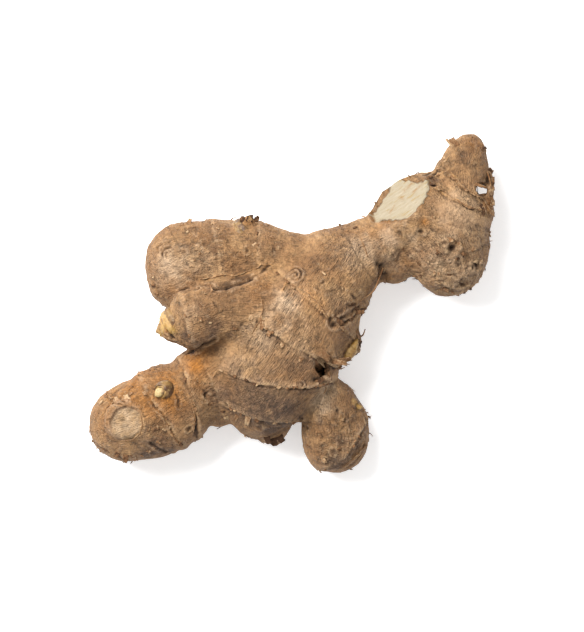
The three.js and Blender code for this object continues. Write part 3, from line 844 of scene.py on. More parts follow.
def hidden_scars(places, normals):
    """Root scars on the sides and the underside, which the photograph doesn't show, well apart."""
    low = np.flatnonzero((normals[:, 2] < 0.1) & (places[:, 2] > 1.5))
    scars = []
    for pick in DICE.permutation(low):
        place = places[pick]
        if all(np.linalg.norm(place - other) > 7.5 for other, *_ in scars):
            radius = DICE.uniform(0.8, 1.9)
            scars.append((place, radius, 0.3 * radius, 0.5 * radius))
        if len(scars) == HIDDEN_SCARS:
            break
    return scars


def warped(places, coarse, fine):
    """The places, shaken by coarse and fine millimetres, so that what is drawn by distance is ragged."""
    shaken = places.copy()
    for axis in range(3):
        shaken[:, axis] += coarse * noise(places, 3.4, 30 + axis)
        shaken[:, axis] += fine * noise(places, 1.3, 33 + axis)
    return shaken


def snapped_face(places, shaken, tree):
    """The places, pushed back to the whole snapped face, and how far each lies past that face's rim."""
    facing = np.array(BREAK["facing"]) / np.linalg.norm(BREAK["facing"])
    centre = np.array(BREAK["at"]) - LOBES_MIDDLE + facing * BREAK["radius"]
    past_break = np.linalg.norm(places - centre, axis=1) - BREAK["radius"]
    # its smooth tail down the neck has healed over
    from_middle = np.linalg.norm(shaken - touched(tree, BREAK_MIDDLE), axis=1)
    healed = smooth_step(12.2, 13.6, from_middle)
    offset = places - (np.array(BREAK_WIDER["at"]) - LOBES_MIDDLE + facing * BREAK_WIDER["radius"])
    reach = np.linalg.norm(offset, axis=1)
    cut = (BREAK_WIDER["radius"] - reach).clip(0) * (1 - healed)
    pushed = places + offset / reach[:, None] * cut[:, None]
    past_break = np.minimum(past_break, reach + cut - BREAK_WIDER["radius"])
    past_break = np.where(from_middle < 20.0, past_break + 1.2 * healed, 20.0)
    seen = seen_at(shaken)
    for start, end in BREAK_EDGES.values():
        run = np.subtract(end, start)
        beyond = (seen - start) @ (-run[1], run[0]) / np.linalg.norm(run) * PIXEL
        past_break = np.maximum(past_break, beyond + 0.5)
    return pushed, past_break + 0.35 * noise(places, 1.5, 21)


def crack_relief(shaken, tree, frayed):
    """How deep the cracks, folds and clefts cut, and how dark they are painted, mostly as painted shade."""
    lift = np.zeros(len(shaken))
    crack_colour_and_shade = np.zeros(len(shaken))
    for width, depth, dark, pixels in CRACKS.values():
        path = [touched(tree, pixel) for pixel in pixels]
        share = distance_to_path(shaken, path) / width
        lift -= 0.8 * depth * frayed * np.exp(-((share * 1.5) ** 2))
        lift += 0.22 * min(depth, 1.0) * frayed * np.exp(-((share - 1.45) ** 2) / 0.2)
        crack_colour_and_shade = np.maximum(crack_colour_and_shade, dark * frayed.clip(0, 1) * np.exp(-((share * 1.35) ** 2)))
    return lift, crack_colour_and_shade


def ridge_relief(shaken, tree, frayed):
    """The thin raised edges of old leaf scales, as relief and as a mask for their pale orange, partly a
    painted highlight.
    """
    lift, edge = np.zeros((2, len(shaken)))
    for width, height, pixels in RIDGES.values():
        share = distance_to_path(shaken, [touched(tree, pixel) for pixel in pixels]) / width
        lift = np.maximum(lift, height * frayed * np.exp(-(share**2)))
        edge = np.maximum(edge, frayed.clip(0, 1) * np.exp(-(share**2)))
    return lift, edge


def scar_relief(places, normals, tree, frayed):
    """The relief of root scars, with masks for their pale rims and dark middles, the middles partly painted
    shade.
    """
    scars = [
        (touched(tree, (across, down)), radius, rim, pit) for across, down, radius, rim, pit in SCARS.values()
    ]
    lopsided = warped(places, 0.6, 0.35)
    worn = (0.45 + 1.1 * noise(places, 1.8, 11)).clip(0, 1.2)
    lift, rims, dark_pits_and_shade = np.zeros((3, len(places)))
    for at, radius, rim, pit in scars + hidden_scars(places, normals):
        share = np.linalg.norm(lopsided - at, axis=1) / radius
        share = np.clip(share + 0.25 * noise(places, 1.3, 12), 0, 4)
        lift += rim * worn * np.exp(-((share - 1.0) ** 2) / 0.14)
        lift -= 0.65 * pit * frayed * np.exp(-((share * 1.6) ** 2))
        rims = np.maximum(rims, worn * np.exp(-((share - 1.05) ** 2) / 0.08))
        # a scar's middle is darker the deeper its pit: its own dark colour and painted shade
        dark = min(1.0, 0.15 + 0.5 * pit)
        dark_pits_and_shade = np.maximum(dark_pits_and_shade, dark * frayed.clip(0, 1) * smooth_step(0.9, 0.25, share))
    return lift, {"rim": rims, "pit": dark_pits_and_shade}


def eye_relief(places, tree):
    """The relief of sleeping eyes: one wrinkle that winds in, with a mask for the dirt and painted shade in
    its groove.
    """
    lift, nook_dirt_and_shade = np.zeros((2, len(places)))
    shaken = warped(places, 0.5, 0.2)
    wander = 1.3 * noise(places, 1.7, 36)
    for across, down, radius, turns, deepest, even in EYES.values():
        offset = shaken - touched(tree, (across, down))
        share = np.linalg.norm(offset * (1.0, 1.0, 0.6), axis=1) / radius
        round_it = np.arctan2(offset[:, 1], offset[:, 0])
        side = even + (1 - even) * (0.5 + 0.5 * np.cos(round_it - math.radians(deepest))) ** 2
        winding = np.cos(2 * math.pi * share * turns - round_it + wander)
        winding *= side * smooth_step(1.2, 0.9, share)
        lift += 0.32 * winding
        # darker where the wrinkle sinks: dirt and painted shade
        nook_dirt_and_shade = np.maximum(nook_dirt_and_shade, (-winding - 0.25).clip(0, 1) * 1.3)
    return lift, nook_dirt_and_shade.clip(0, 1)


def stem_scar_relief(places, tree, frayed):
    """The relief and masks of the old stem's round scar, a shallow dish, and how far out each place is."""
    middle = touched(tree, DISC["pixel"])
    disc = np.linalg.norm(warped(places, 0.4, 0.25) - middle, axis=1) / DISC["radius"]
    lift = 0.22 * frayed * np.exp(-((disc - 1.07) ** 2) / 0.01) - 0.16 * smooth_step(1.0, 0.82, disc)
    lift += 0.05 * np.cos(2 * math.pi * 7 * disc) * smooth_step(0.95, 0.85, disc)
    torn_side = 0.25 + 0.75 * smooth_step(0.3, 0.9, (places - middle) @ (-0.12, 0.2, 0.0))
    masks = {
        "plate": smooth_step(1.0, 0.88, disc),
        "torn": smooth_step(0.86, 0.98, disc) * smooth_step(1.12, 1.0, disc) * torn_side,
    }
    return lift, masks, disc


def body_relief(places, grain, rough, banded, seam):
    """The body's own unevenness, fibres along each lobe, and scurf."""
    lift = 0.45 * noise(places, 10.0, 13) + 0.30 * noise(places, 4.6, 14) * (0.35 + rough)
    lift += 0.34 * noise(places, 2.4, 15) * (0.1 + rough)
    lift += 0.24 * noise(places, 1.35, 16) * (0.15 + rough)
    fibres = noise(grain * (1.0, 1.0, 0.2), 1.05, 18)
    lift += (0.06 + 0.16 * banded) * fibres * seam
    return lift + 0.95 * (noise(places, 2.1, 19) - 0.34).clip(0) * rough


def flesh_fibres(places, shaken, tree, grain, flesh):
    """Where the material's threads run, along each lobe or the snapped face, and that face's streaks."""
    low, high = BREAK_GRAIN
    along = touched(tree, high) - touched(tree, low)
    along /= np.linalg.norm(along)
    squeezed = places - (places @ along)[:, None] * along * 0.88
    threads = np.where(flesh[:, None] > 0.5, squeezed, grain * (1.0, 1.0, 0.14))
    streaks = np.zeros(len(places))
    for width, *pixels in BREAK_STREAKS.values():
        away = distance_to_path(shaken, [touched(tree, pixel) for pixel in pixels])
        streaks = np.maximum(streaks, np.exp(-((away / width) ** 2)))
    return threads, streaks


def ring_masks(past_ring, ring_force):
    """The parts of a leaf-scar ring: its worn lip, the painted shadow line behind it, and the tones on both
    sides, darker past it with dirt and painted shade.
    """
    bands = {
        "crest": (-3.4, -0.3, -0.2, 0.2),
        "lip": (-0.9, -0.5, -0.15, 0.15),
        "painted_ring_shadow_line": (-0.1, 0.2, 0.35, 0.9),
        "dirt_and_shade_past_ring": (-0.1, 0.3, 0.4, 3.6),
    }
    return {
        part: smooth_step(start, full, past_ring) * smooth_step(end, fades, past_ring) * ring_force
        for part, (start, full, fades, end) in bands.items()
    }


def grow_skin():
    """The rhizome's skin, with its relief in the mesh and its stains, dirt, painted shade and painted
    highlights as attributes.
    """
    skin = even_copy(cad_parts["rhizome"], "ginger_skin")
    mesh = skin.data
    edges = edges_of(mesh)
    places = blurred(places_of(mesh), edges, EVEN_ROUNDS)
    set_places(mesh, places)
    normals = normals_of(mesh)
    triangles = [tuple(face.vertices) for face in mesh.polygons]
    tree = BVHTree.FromPolygons([Vector(place) for place in places], triangles)

    grain, nearest, per_lobe = lobe_frames(places)
    past_ring, ring_force, growth = ring_distances(places, nearest, per_lobe)
    ring_force *= (0.62 + 0.75 * noise(places, 3.2, 24)).clip(0.05, 1.2)
    seam = smooth_step(0.2, 1.8, np.sort(np.array(per_lobe), 0)[1] - nearest)
    shaken = warped(places, 0.55, 0.3)
    frayed = (0.75 + 0.7 * noise(places, 2.6, 10)).clip(0.15, 1.3)
    places, past_break = snapped_face(places, shaken, tree)
    flesh = smooth_step(0.75, 0.35, past_break)
    # the crease where the snapped face's tail has healed over the neck is filled
    crease = np.exp(-((np.linalg.norm(places - touched(tree, HEALED_CREASE), axis=1) / 5.0) ** 4))
    crease *= smooth_step(0.7, 1.8, past_break)
    places += (blurred(places, edges, CREASE_ROUNDS) - places) * crease[:, None]

    masks = {name: stained(places, tree, stains) for name, stains in STAINS.items()}
    under = smooth_step(0.15, -0.25, normals[:, 2])
    for name, (size, turn, start, gain) in UNDERSIDE.items():
        masks[name] = np.maximum(masks[name], under * (noise(places, size, turn) - start).clip(0, 1) * gain)
    rough = np.maximum(masks["rough"], (0.15 + 0.6 * noise(places, 9.0, 25)).clip(0, 0.6))
    rough *= (1 - 0.85 * masks["banded"]) * (1 - flesh)

    lift, disc_masks, disc = stem_scar_relief(places, tree, frayed)
    rough *= 1 - 0.8 * smooth_step(1.0, 0.9, disc)

    # worn lips where old leaf scales let go
    lip = np.exp(-((past_ring + 0.55) ** 2) / 0.30)
    groove = np.exp(-((past_ring - 0.45) ** 2) / 0.20)
    lift += ring_force * (0.20 * lip - 0.45 * groove)
    crack_lift, crack_colour_and_shade = crack_relief(shaken, tree, frayed)
    ridge_lift, ridges = ridge_relief(shaken, tree, frayed)
    scar_lift, scar_masks = scar_relief(places, normals, tree, frayed)
    eye_lift, eyes = eye_relief(places, tree)
    lift += crack_lift + ridge_lift + scar_lift + eye_lift
    lift += body_relief(places, grain, rough, masks["banded"], seam)

    # the broken face keeps only fine grain, and the feet stay flat on the table
    lift = lift * (1 - 0.9 * flesh) + 0.09 * noise(places, 1.3, 20) * flesh
    lift *= 1 - 0.9 * smooth_step(0.9, 0.15, places[:, 2])
    grown = in_box(places + normals * lift[:, None])
    set_places(mesh, grown)

    # hollows are darker with dirt and painted shade, and crests lighter with a painted highlight: height
    # against a smoothed copy
    hollow = ((blurred(grown, edges, BROAD_ROUNDS) - grown) * normals).sum(1)
    nook = ((blurred(grown, edges, NARROW_ROUNDS) - grown) * normals).sum(1)

    threads, streaks = flesh_fibres(places, shaken, tree, grain, flesh)
    masks |= scar_masks | disc_masks | ring_masks(past_ring, ring_force)
    masks |= {
        "threads": threads,
        "runs": seam * (0.6 + 0.9 * masks["banded"]) * (1 - 0.8 * flesh),
        "corky": (0.5 + rough) * (1 - 0.75 * flesh),
        "scurf": (0.3 + rough).clip(0, 1),
        "eye": eyes,
        "ridge_colour_and_highlight": ridges,
        # a painted highlight on crests, and dirt and painted shade in narrow and broad hollows
        "painted_crest_highlight": smooth_step(-0.03, -0.22, nook),
        "nook_dirt_and_shade": smooth_step(0.02, 0.22, nook),
        "hollow_dirt_and_shade": smooth_step(0.2, 1.4, hollow),
        # painted shade in the cracks, darkest in their middles
        "crack_colour_and_painted_shade": smooth_step(0.1, 0.85, crack_colour_and_shade),
        "deep_crack_colour_and_painted_shade": smooth_step(0.75, 1.0, crack_colour_and_shade),
        "healed": smooth_step(1.1, 0.7, past_break),
        "flesh": flesh,
        "streak": streaks * flesh,
    }
    for name in MASKS_OF_THE_SKIN:
        write_attribute(mesh, name, masks[name])
    for face in mesh.polygons:
        face.use_smooth = True
    thin_out(skin, KEPT_SHARE)
    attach(skin, "root")
    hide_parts("rhizome")
    grown_tree = BVHTree.FromPolygons([Vector(place) for place in grown], triangles)
    return skin, grown_tree, grown, normals, past_ring, ring_force * (1 - flesh), growth, rough


# Buds, husk and root hairs

def axis_frame(axis):
    """Two unit vectors square to an axis and each other, and the axis as a unit vector."""
    axis = Vector(axis).normalized()
    side = axis.orthogonal().normalized()
    return side, axis.cross(side), axis


def finish_piece(form, name, material, tone_name=None, tones=None, thickness=None):
    """Makes a piece of a bmesh in millimetres, gives it a wall, and lets it ride with the root."""
    bmesh.ops.recalc_face_normals(form, faces=form.faces)
    mesh = bpy.data.meshes.new(name)
    form.to_mesh(mesh)
    form.free()
    places = places_of(mesh) * MM
    inset = (thickness or 0) * 0.6  # a little more than half the wall
    low, high = np.array(CAD_BOX) / MM
    set_places(mesh, places.clip(low + inset + 0.01, high - inset - 0.01))
    piece = bpy.data.objects.new(name, mesh)
    bpy.context.scene.collection.objects.link(piece)
    if tones is not None:
        write_attribute(mesh, tone_name, np.array(tones))
    if thickness:
        wall = piece.modifiers.new("wall", "SOLIDIFY")
        wall.thickness = thickness * MM
        wall.offset = 0.0
    for face in mesh.polygons:
        face.use_smooth = True
    mesh.materials.append(material)
    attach(piece, "root")
    return piece


def build_bud(name, foot, tip, sheaths, material):
    """A bud of nested sheaths, each a cup with a ragged slanting edge, the last one closed."""
    foot = Vector(foot) - Vector(LOBES_MIDDLE)
    tip = Vector(tip) - Vector(LOBES_MIDDLE)
    side, up, axis = axis_frame(tip - foot)
    form = bmesh.new()
    tones = []
    for number, (start, end, wide, narrow, age) in enumerate(sheaths):
        before = len(form.verts)
        cup = bmesh.ops.create_cone(
            form, segments=30, radius1=wide, radius2=narrow, depth=end - start, cap_ends=False
        )["verts"]
        # each edge once, in a fixed order, so that every run gives the same mesh
        cup_edges = list(dict.fromkeys(edge for vert in cup for edge in vert.link_edges))
        rungs = [edge for edge in cup_edges if abs(edge.verts[0].co.z - edge.verts[1].co.z) > 0.1]
        top_rim = [edge for edge in cup_edges if min(vert.co.z for vert in edge.verts) > 0]
        if number == len(sheaths) - 1:
            bmesh.ops.edgeloop_fill(form, edges=top_rim)
        bmesh.ops.subdivide_edges(form, edges=rungs, cuts=5)
        form.verts.ensure_lookup_table()
        made = form.verts[before:]
        lean = DICE.uniform(0, 2 * math.pi)
        locals_ = np.array([vert.co for vert in made])
        ragged = noise(locals_ + 9 * number, 1.3, 40 + number)
        bulge = noise(locals_ + 9 * number, 3.0, 50 + number)
        for vert, rag, swell in zip(made, ragged, bulge):
            share = (vert.co.z + (end - start) / 2) / (end - start)
            round_in = 1 + 0.22 * math.sin(math.pi * share) + 0.14 * swell
            across = vert.co.x * round_in
            over = vert.co.y * round_in
            slant = 0.35 * math.cos(math.atan2(over, across) - lean) * share
            along = (start + end) / 2 + vert.co.z + share**2 * (0.9 * rag) + slant
            vert.co = foot + side * across + up * over + axis * along
        tones += [age + 0.25 * share for share in ragged]
    return finish_piece(form, name, material, "age", tones, 0.28)


def add_shred(form, tones, root, tip, outward, width, tone, thick_end=0.6):
    """One shred of husk from its root to its tip, with ragged edges and a curl."""
    root, tip, outward = Vector(root), Vector(tip), Vector(outward)
    along = tip - root
    across = along.cross(outward).normalized()
    away = across.cross(along).normalized()
    made = bmesh.ops.create_grid(form, x_segments=5, y_segments=4, size=1.0)["verts"]
    places = np.array([vert.co for vert in made]) * (along.length, width, 1.0)
    seed = DICE.integers(0, 1000) * 3.1
    rag = noise(places + seed, 0.9)
    wave = noise(places + seed + 50, 1.6)
    curl = DICE.uniform(-0.25, 0.5)
    for vert, ragged, waved in zip(made, rag, wave):
        share = (vert.co.x + 1) / 2
        narrowing = 1 - (1 - thick_end) * share**2 + 0.5 * ragged * share
        sideways = vert.co.y * width / 2 * narrowing
        reach = share + 0.22 * ragged * share
        bow = 0.18 * waved * width + curl * (vert.co.y**2) * 0.4 + 0.35 * math.sin(math.pi * share) * curl
        vert.co = root + along * reach + across * sideways + away * bow
        tones.append(tone + 0.35 * waved + 0.2 * (share - 0.5))


def add_scale_edge(form, tones, tree, height, pixels):
    """The thin edge of an old leaf scale that stands off the skin, along a line of pixels."""
    steps = [
        np.add(start, np.subtract(end, start) * share)
        for start, end in zip(pixels[:-1], pixels[1:])
        for share in np.linspace(0, 1, max(2, round(math.dist(start, end) / 1.5)), endpoint=False)
    ]
    feet = np.array([touched(tree, pixel) for pixel in [*steps, pixels[-1]]])
    rag = noise(feet, 0.9, 41)
    worn = noise(feet, 2.6, 42)
    made = bmesh.ops.create_grid(form, x_segments=len(feet) - 1, y_segments=2, size=1.0)["verts"]
    for vert in made:
        number = round((vert.co.x + 1) / 2 * (len(feet) - 1))
        share = (vert.co.y + 1) / 2
        foot = Vector(feet[number])
        outward = tree.find_nearest(foot)[1]
        along = Vector(feet[min(number + 1, len(feet) - 1)] - feet[max(number - 1, 0)])
        lean = along.cross(outward).normalized()
        rise = height * (0.75 + 0.6 * rag[number] + 1.1 * worn[number])
        root = foot - outward * 0.25 - lean * 0.25
        vert.co = root + (outward * (max(0.0, rise) + 0.25) + lean * (0.45 + 0.3 * rag[number])) * share
        tones.append(0.45 + 0.3 * rag[number] + 0.2 * share)


def build_shreds(tree, places, normals, past_ring, ring_force, growth, rough, material):
    """All torn husk: the photograph's shreds, old scales' edges, tatters on the rings, and loose scurf."""
    form = bmesh.new()
    tones = []
    for root, tip, width, rise, tone in SHREDS.values():
        foot = Vector(touched(tree, root))
        outward = tree.find_nearest(foot)[1]
        eye, direction = as_pixel_ray(tip)
        target = tree.ray_cast(eye, direction)[0]
        if target is None:
            # past the edge, the tip hangs free at the height of its root
            target = eye + direction * ((foot.z - 1.0 - eye.z) / direction.z)
        target = target + Vector((0, 0, rise))
        start = foot - outward * 0.2
        add_shred(form, tones, start, target, outward, width, tone)
    for _, height, pixels in RIDGES.values():
        add_scale_edge(form, tones, tree, height, pixels)
    lips = np.flatnonzero(
        (np.abs(past_ring + 0.15) < 0.35) & (ring_force > 0.3) & (places[:, 2] > 2.5)
    )
    for pick in DICE.choice(lips, RING_TATTERS, replace=False):
        outward = Vector(normals[pick])
        ahead = Vector(growth[pick])
        ahead = (ahead - outward * ahead.dot(outward)).normalized()
        turned = (ahead + outward.cross(ahead) * DICE.uniform(-0.5, 0.5)).normalized()
        length, width = DICE.uniform(0.35, 1.1), DICE.uniform(0.7, 1.7)
        start = Vector(places[pick]) - turned * 0.3
        end = start + turned * length + outward * DICE.uniform(0.15, 0.55)
        add_shred(form, tones, start, end, outward, width, DICE.uniform(0.15, 0.8))
    scurfy = np.flatnonzero((rough > 0.35) & (places[:, 2] > 2.5))
    for pick in DICE.choice(scurfy, SCURF_FLAKES, replace=False):
        outward = Vector(normals[pick])
        turn = Vector(DICE.normal(size=3)).cross(outward).normalized()
        length, width = DICE.uniform(0.6, 1.7), DICE.uniform(0.4, 1.1)
        start = Vector(places[pick]) + outward * 0.05
        end = start + turn * length + outward * DICE.uniform(0.05, 0.4)
        add_shred(form, tones, start, end, outward, width, DICE.uniform(0.1, 0.9))
    return finish_piece(form, "husk_shreds", material, "tone", tones, 0.14)


def build_hairs(tree, places, normals, material):
    """Dried root hairs: the two that the photograph shows, and short ones on the sides and underside."""
    curve = bpy.data.curves.new("root_hairs", "CURVE")
    curve.dimensions = "3D"
    curve.bevel_depth = SWEPT_RADIUS * MM
    curve.bevel_resolution = 2
    curve.use_fill_caps = True
    strands = []
    for pixels, radius in HAIRS.values():
        ends = [touched(tree, pixels[0]), touched(tree, pixels[-1])]
        path = []
        for number, pixel in enumerate(pixels):
            share = number / (len(pixels) - 1)
            height = (1 - share) * ends[0][2] + share * ends[1][2]
            eye, direction = as_pixel_ray(pixel)
            path.append(eye + direction * ((height - eye.z) / direction.z))
        strands.append((path, radius))
    low = np.flatnonzero((normals[:, 2] < 0.25) & (places[:, 2] > 5.0))
    for pick in DICE.choice(low, SHORT_HAIRS, replace=False):
        place, outward = Vector(places[pick]), Vector(normals[pick])
        length = DICE.uniform(0.8, 2.6)
        bent = Vector(DICE.normal(size=3)).cross(outward).normalized()
        path = [place - outward * 0.3]
        path += [place + outward * length * s * 0.6 + bent * length * s * s for s in (0.35, 0.7, 1.0)]
        strands.append((path, DICE.uniform(0.14, 0.3)))
    for path, radius in strands:
        spline = curve.splines.new("NURBS")
        spline.points.add(len(path) - 1)
        spline.use_endpoint_u = True
        spline.order_u = 3
        for point, place, number in zip(spline.points, path, range(len(path))):
            point.co = (*(place * MM), 1.0)
            point.radius = radius / SWEPT_RADIUS * (1 - 0.45 * number / (len(path) - 1))
    holder = bpy.data.objects.new("root_hairs", curve)
    bpy.context.scene.collection.objects.link(holder)
    depsgraph = bpy.context.evaluated_depsgraph_get()
    mesh = bpy.data.meshes.new_from_object(holder.evaluated_get(depsgraph))
    bpy.data.objects.remove(holder)
    form = bmesh.new()
    form.from_mesh(mesh)
    bmesh.ops.scale(form, vec=(1 / MM, 1 / MM, 1 / MM), verts=form.verts)
    return finish_piece(form, "root_hairs", material)


# Materials

def linear(code):
    """A colour's sRGB hex code as linear red, green, blue and alpha."""
    parts = [int(code[i : i + 2], 16) / 255 for i in (1, 3, 5)]
    return [*(((p + 0.055) / 1.055) ** 2.4 if p > 0.04045 else p / 12.92 for p in parts), 1.0]


def add(tree, kind, settings=None, feeds=None):
    """One node with its settings, and what feeds each of its sockets: a value or another node's socket."""
    made = tree.nodes.new(kind)
    for key, value in (settings or {}).items():
        setattr(made, key, value)
    for key, value in (feeds or {}).items():
        if isinstance(value, bpy.types.NodeSocket):
            tree.links.new(value, made.inputs[key])
        else:
            made.inputs[key].default_value = value
    return made


def read_values(tree, patterns, shifted, masks):
    """The sockets of a material's noise patterns, of attributes shifted by a pattern, and of plain masks."""
    place = add(tree, "ShaderNodeTexCoord").outputs["Object"]
    body = add(tree, "ShaderNodeVectorMath", {"operation": "SCALE"}, {0: place, "Scale": 1 / MM})
    values = {}
    for name, (follows, size, detail, roughness) in patterns.items():
        vector = body.outputs[0]
        if follows != "body":
            vector = add(tree, "ShaderNodeAttribute", {"attribute_name": follows}).outputs["Vector"]
        feeds = {"Vector": vector, "Scale": 1 / size, "Detail": detail, "Roughness": roughness}
        values[name] = add(tree, "ShaderNodeTexNoise", {"noise_dimensions": "3D"}, feeds).outputs[0]
    for name in masks:
        values[name] = add(tree, "ShaderNodeAttribute", {"attribute_name": name}).outputs["Fac"]
    for name, (mask, pattern, swing) in shifted.items():
        feeds = {0: values[pattern], 1: swing, 2: -swing / 2}
        shift = add(tree, "ShaderNodeMath", {"operation": "MULTIPLY_ADD"}, feeds).outputs[0]
        feeds = {0: values[mask], 1: shift}
        values[name] = add(tree, "ShaderNodeMath", {"operation": "ADD"}, feeds).outputs[0]
    return values


def laid_over(tree, colour, layers, values):
    """A colour with layers laid over it in turn, each within its mask and where a pattern is high.

    A layer is [hex colour, amount, mask, pattern, where it starts, where it is full]. Mask and pattern may be
    None, and a pattern that starts higher than it is full covers where it is low.
    """
    for code, amount, mask, pattern, start, full in layers:
        share = amount
        if pattern:
            feeds = {"Value": values[pattern], "From Min": start, "From Max": full, "To Max": amount}
            share = add(tree, "ShaderNodeMapRange", {"interpolation_type": "SMOOTHSTEP"}, feeds).outputs[0]
        if mask:
            settings = {"operation": "MULTIPLY", "use_clamp": True}
            share = add(tree, "ShaderNodeMath", settings, {0: values[mask], 1: share}).outputs[0]
        feeds = {0: share, 6: colour, 7: linear(code)}  # a Mix node's sockets 6 and 7 are its colours
        colour = add(tree, "ShaderNodeMix", {"data_type": "RGBA"}, feeds).outputs[2]
    return colour


def summed(tree, total, terms, values):
    """A total with terms added, each [pattern, mask or None, swing]. A pattern of 0.5 adds nothing."""
    for pattern, mask, swing in terms:
        feeds = {0: values[pattern], 1: swing, 2: -swing / 2}
        term = add(tree, "ShaderNodeMath", {"operation": "MULTIPLY_ADD"}, feeds).outputs[0]
        if mask:
            feeds = {0: term, 1: values[mask]}
            term = add(tree, "ShaderNodeMath", {"operation": "MULTIPLY"}, feeds).outputs[0]
        total = add(tree, "ShaderNodeMath", {"operation": "ADD"}, {0: total, 1: term}).outputs[0]
    return total


def build_material(
    name,
    base,
    finish,
    patterns=None,
    shifted=None,
    masks=(),
    layers=(),
    tones=(),
    over=(),
    relief=(),
    depth=0.0,
):
    """A material: a base colour under layers, darkened and lightened by tones, under more layers.

    Patterns are {name: [what they follow, millimetres across, detail, roughness]}. Shifted values are
    {name: [mask, pattern, swing]}. Relief is summed as tones are, and depth is its millimetres.
    """
    material = bpy.data.materials.new(name)
    material.use_nodes = True
    tree = material.node_tree
    tree.nodes.clear()
    values = read_values(tree, patterns or {}, shifted or {}, masks)
    colour = laid_over(tree, linear(base), layers, values)
    if tones:
        tone = summed(tree, 1.0, tones, values)
        tone = add(tree, "ShaderNodeMath", {"operation": "MAXIMUM"}, {0: tone, 1: 0.3}).outputs[0]
        feeds = {0: colour, "Scale": tone}
        colour = add(tree, "ShaderNodeVectorMath", {"operation": "SCALE"}, feeds).outputs[0]
    feeds = {"Base Color": laid_over(tree, colour, over, values), **finish}
    if relief:
        height = summed(tree, 0.0, relief, values)
        bump = {"Strength": 1.0, "Distance": depth * MM, "Height": height}
        feeds["Normal"] = add(tree, "ShaderNodeBump", None, bump).outputs[0]
    shader = add(tree, "ShaderNodeBsdfPrincipled", None, feeds)
    add(tree, "ShaderNodeOutputMaterial", None, {0: shader.outputs[0]})
    return material


# The masks that the skin's mesh holds for its material
MASKS_OF_THE_SKIN = [
    "threads", "runs", "corky", "scurf", "ochre", "pale_and_painted_light", "grey_and_painted_shade", "dusky_and_painted_shade", "banded", "bud", "plate", "torn",
    "crest", "lip", "painted_ring_shadow_line", "dirt_and_shade_past_ring", "ridge_colour_and_highlight", "rim", "pit", "eye", "painted_crest_highlight", "nook_dirt_and_shade", "hollow_dirt_and_shade", "crack_colour_and_painted_shade", "deep_crack_colour_and_painted_shade",
    "healed", "flesh", "streak",
]


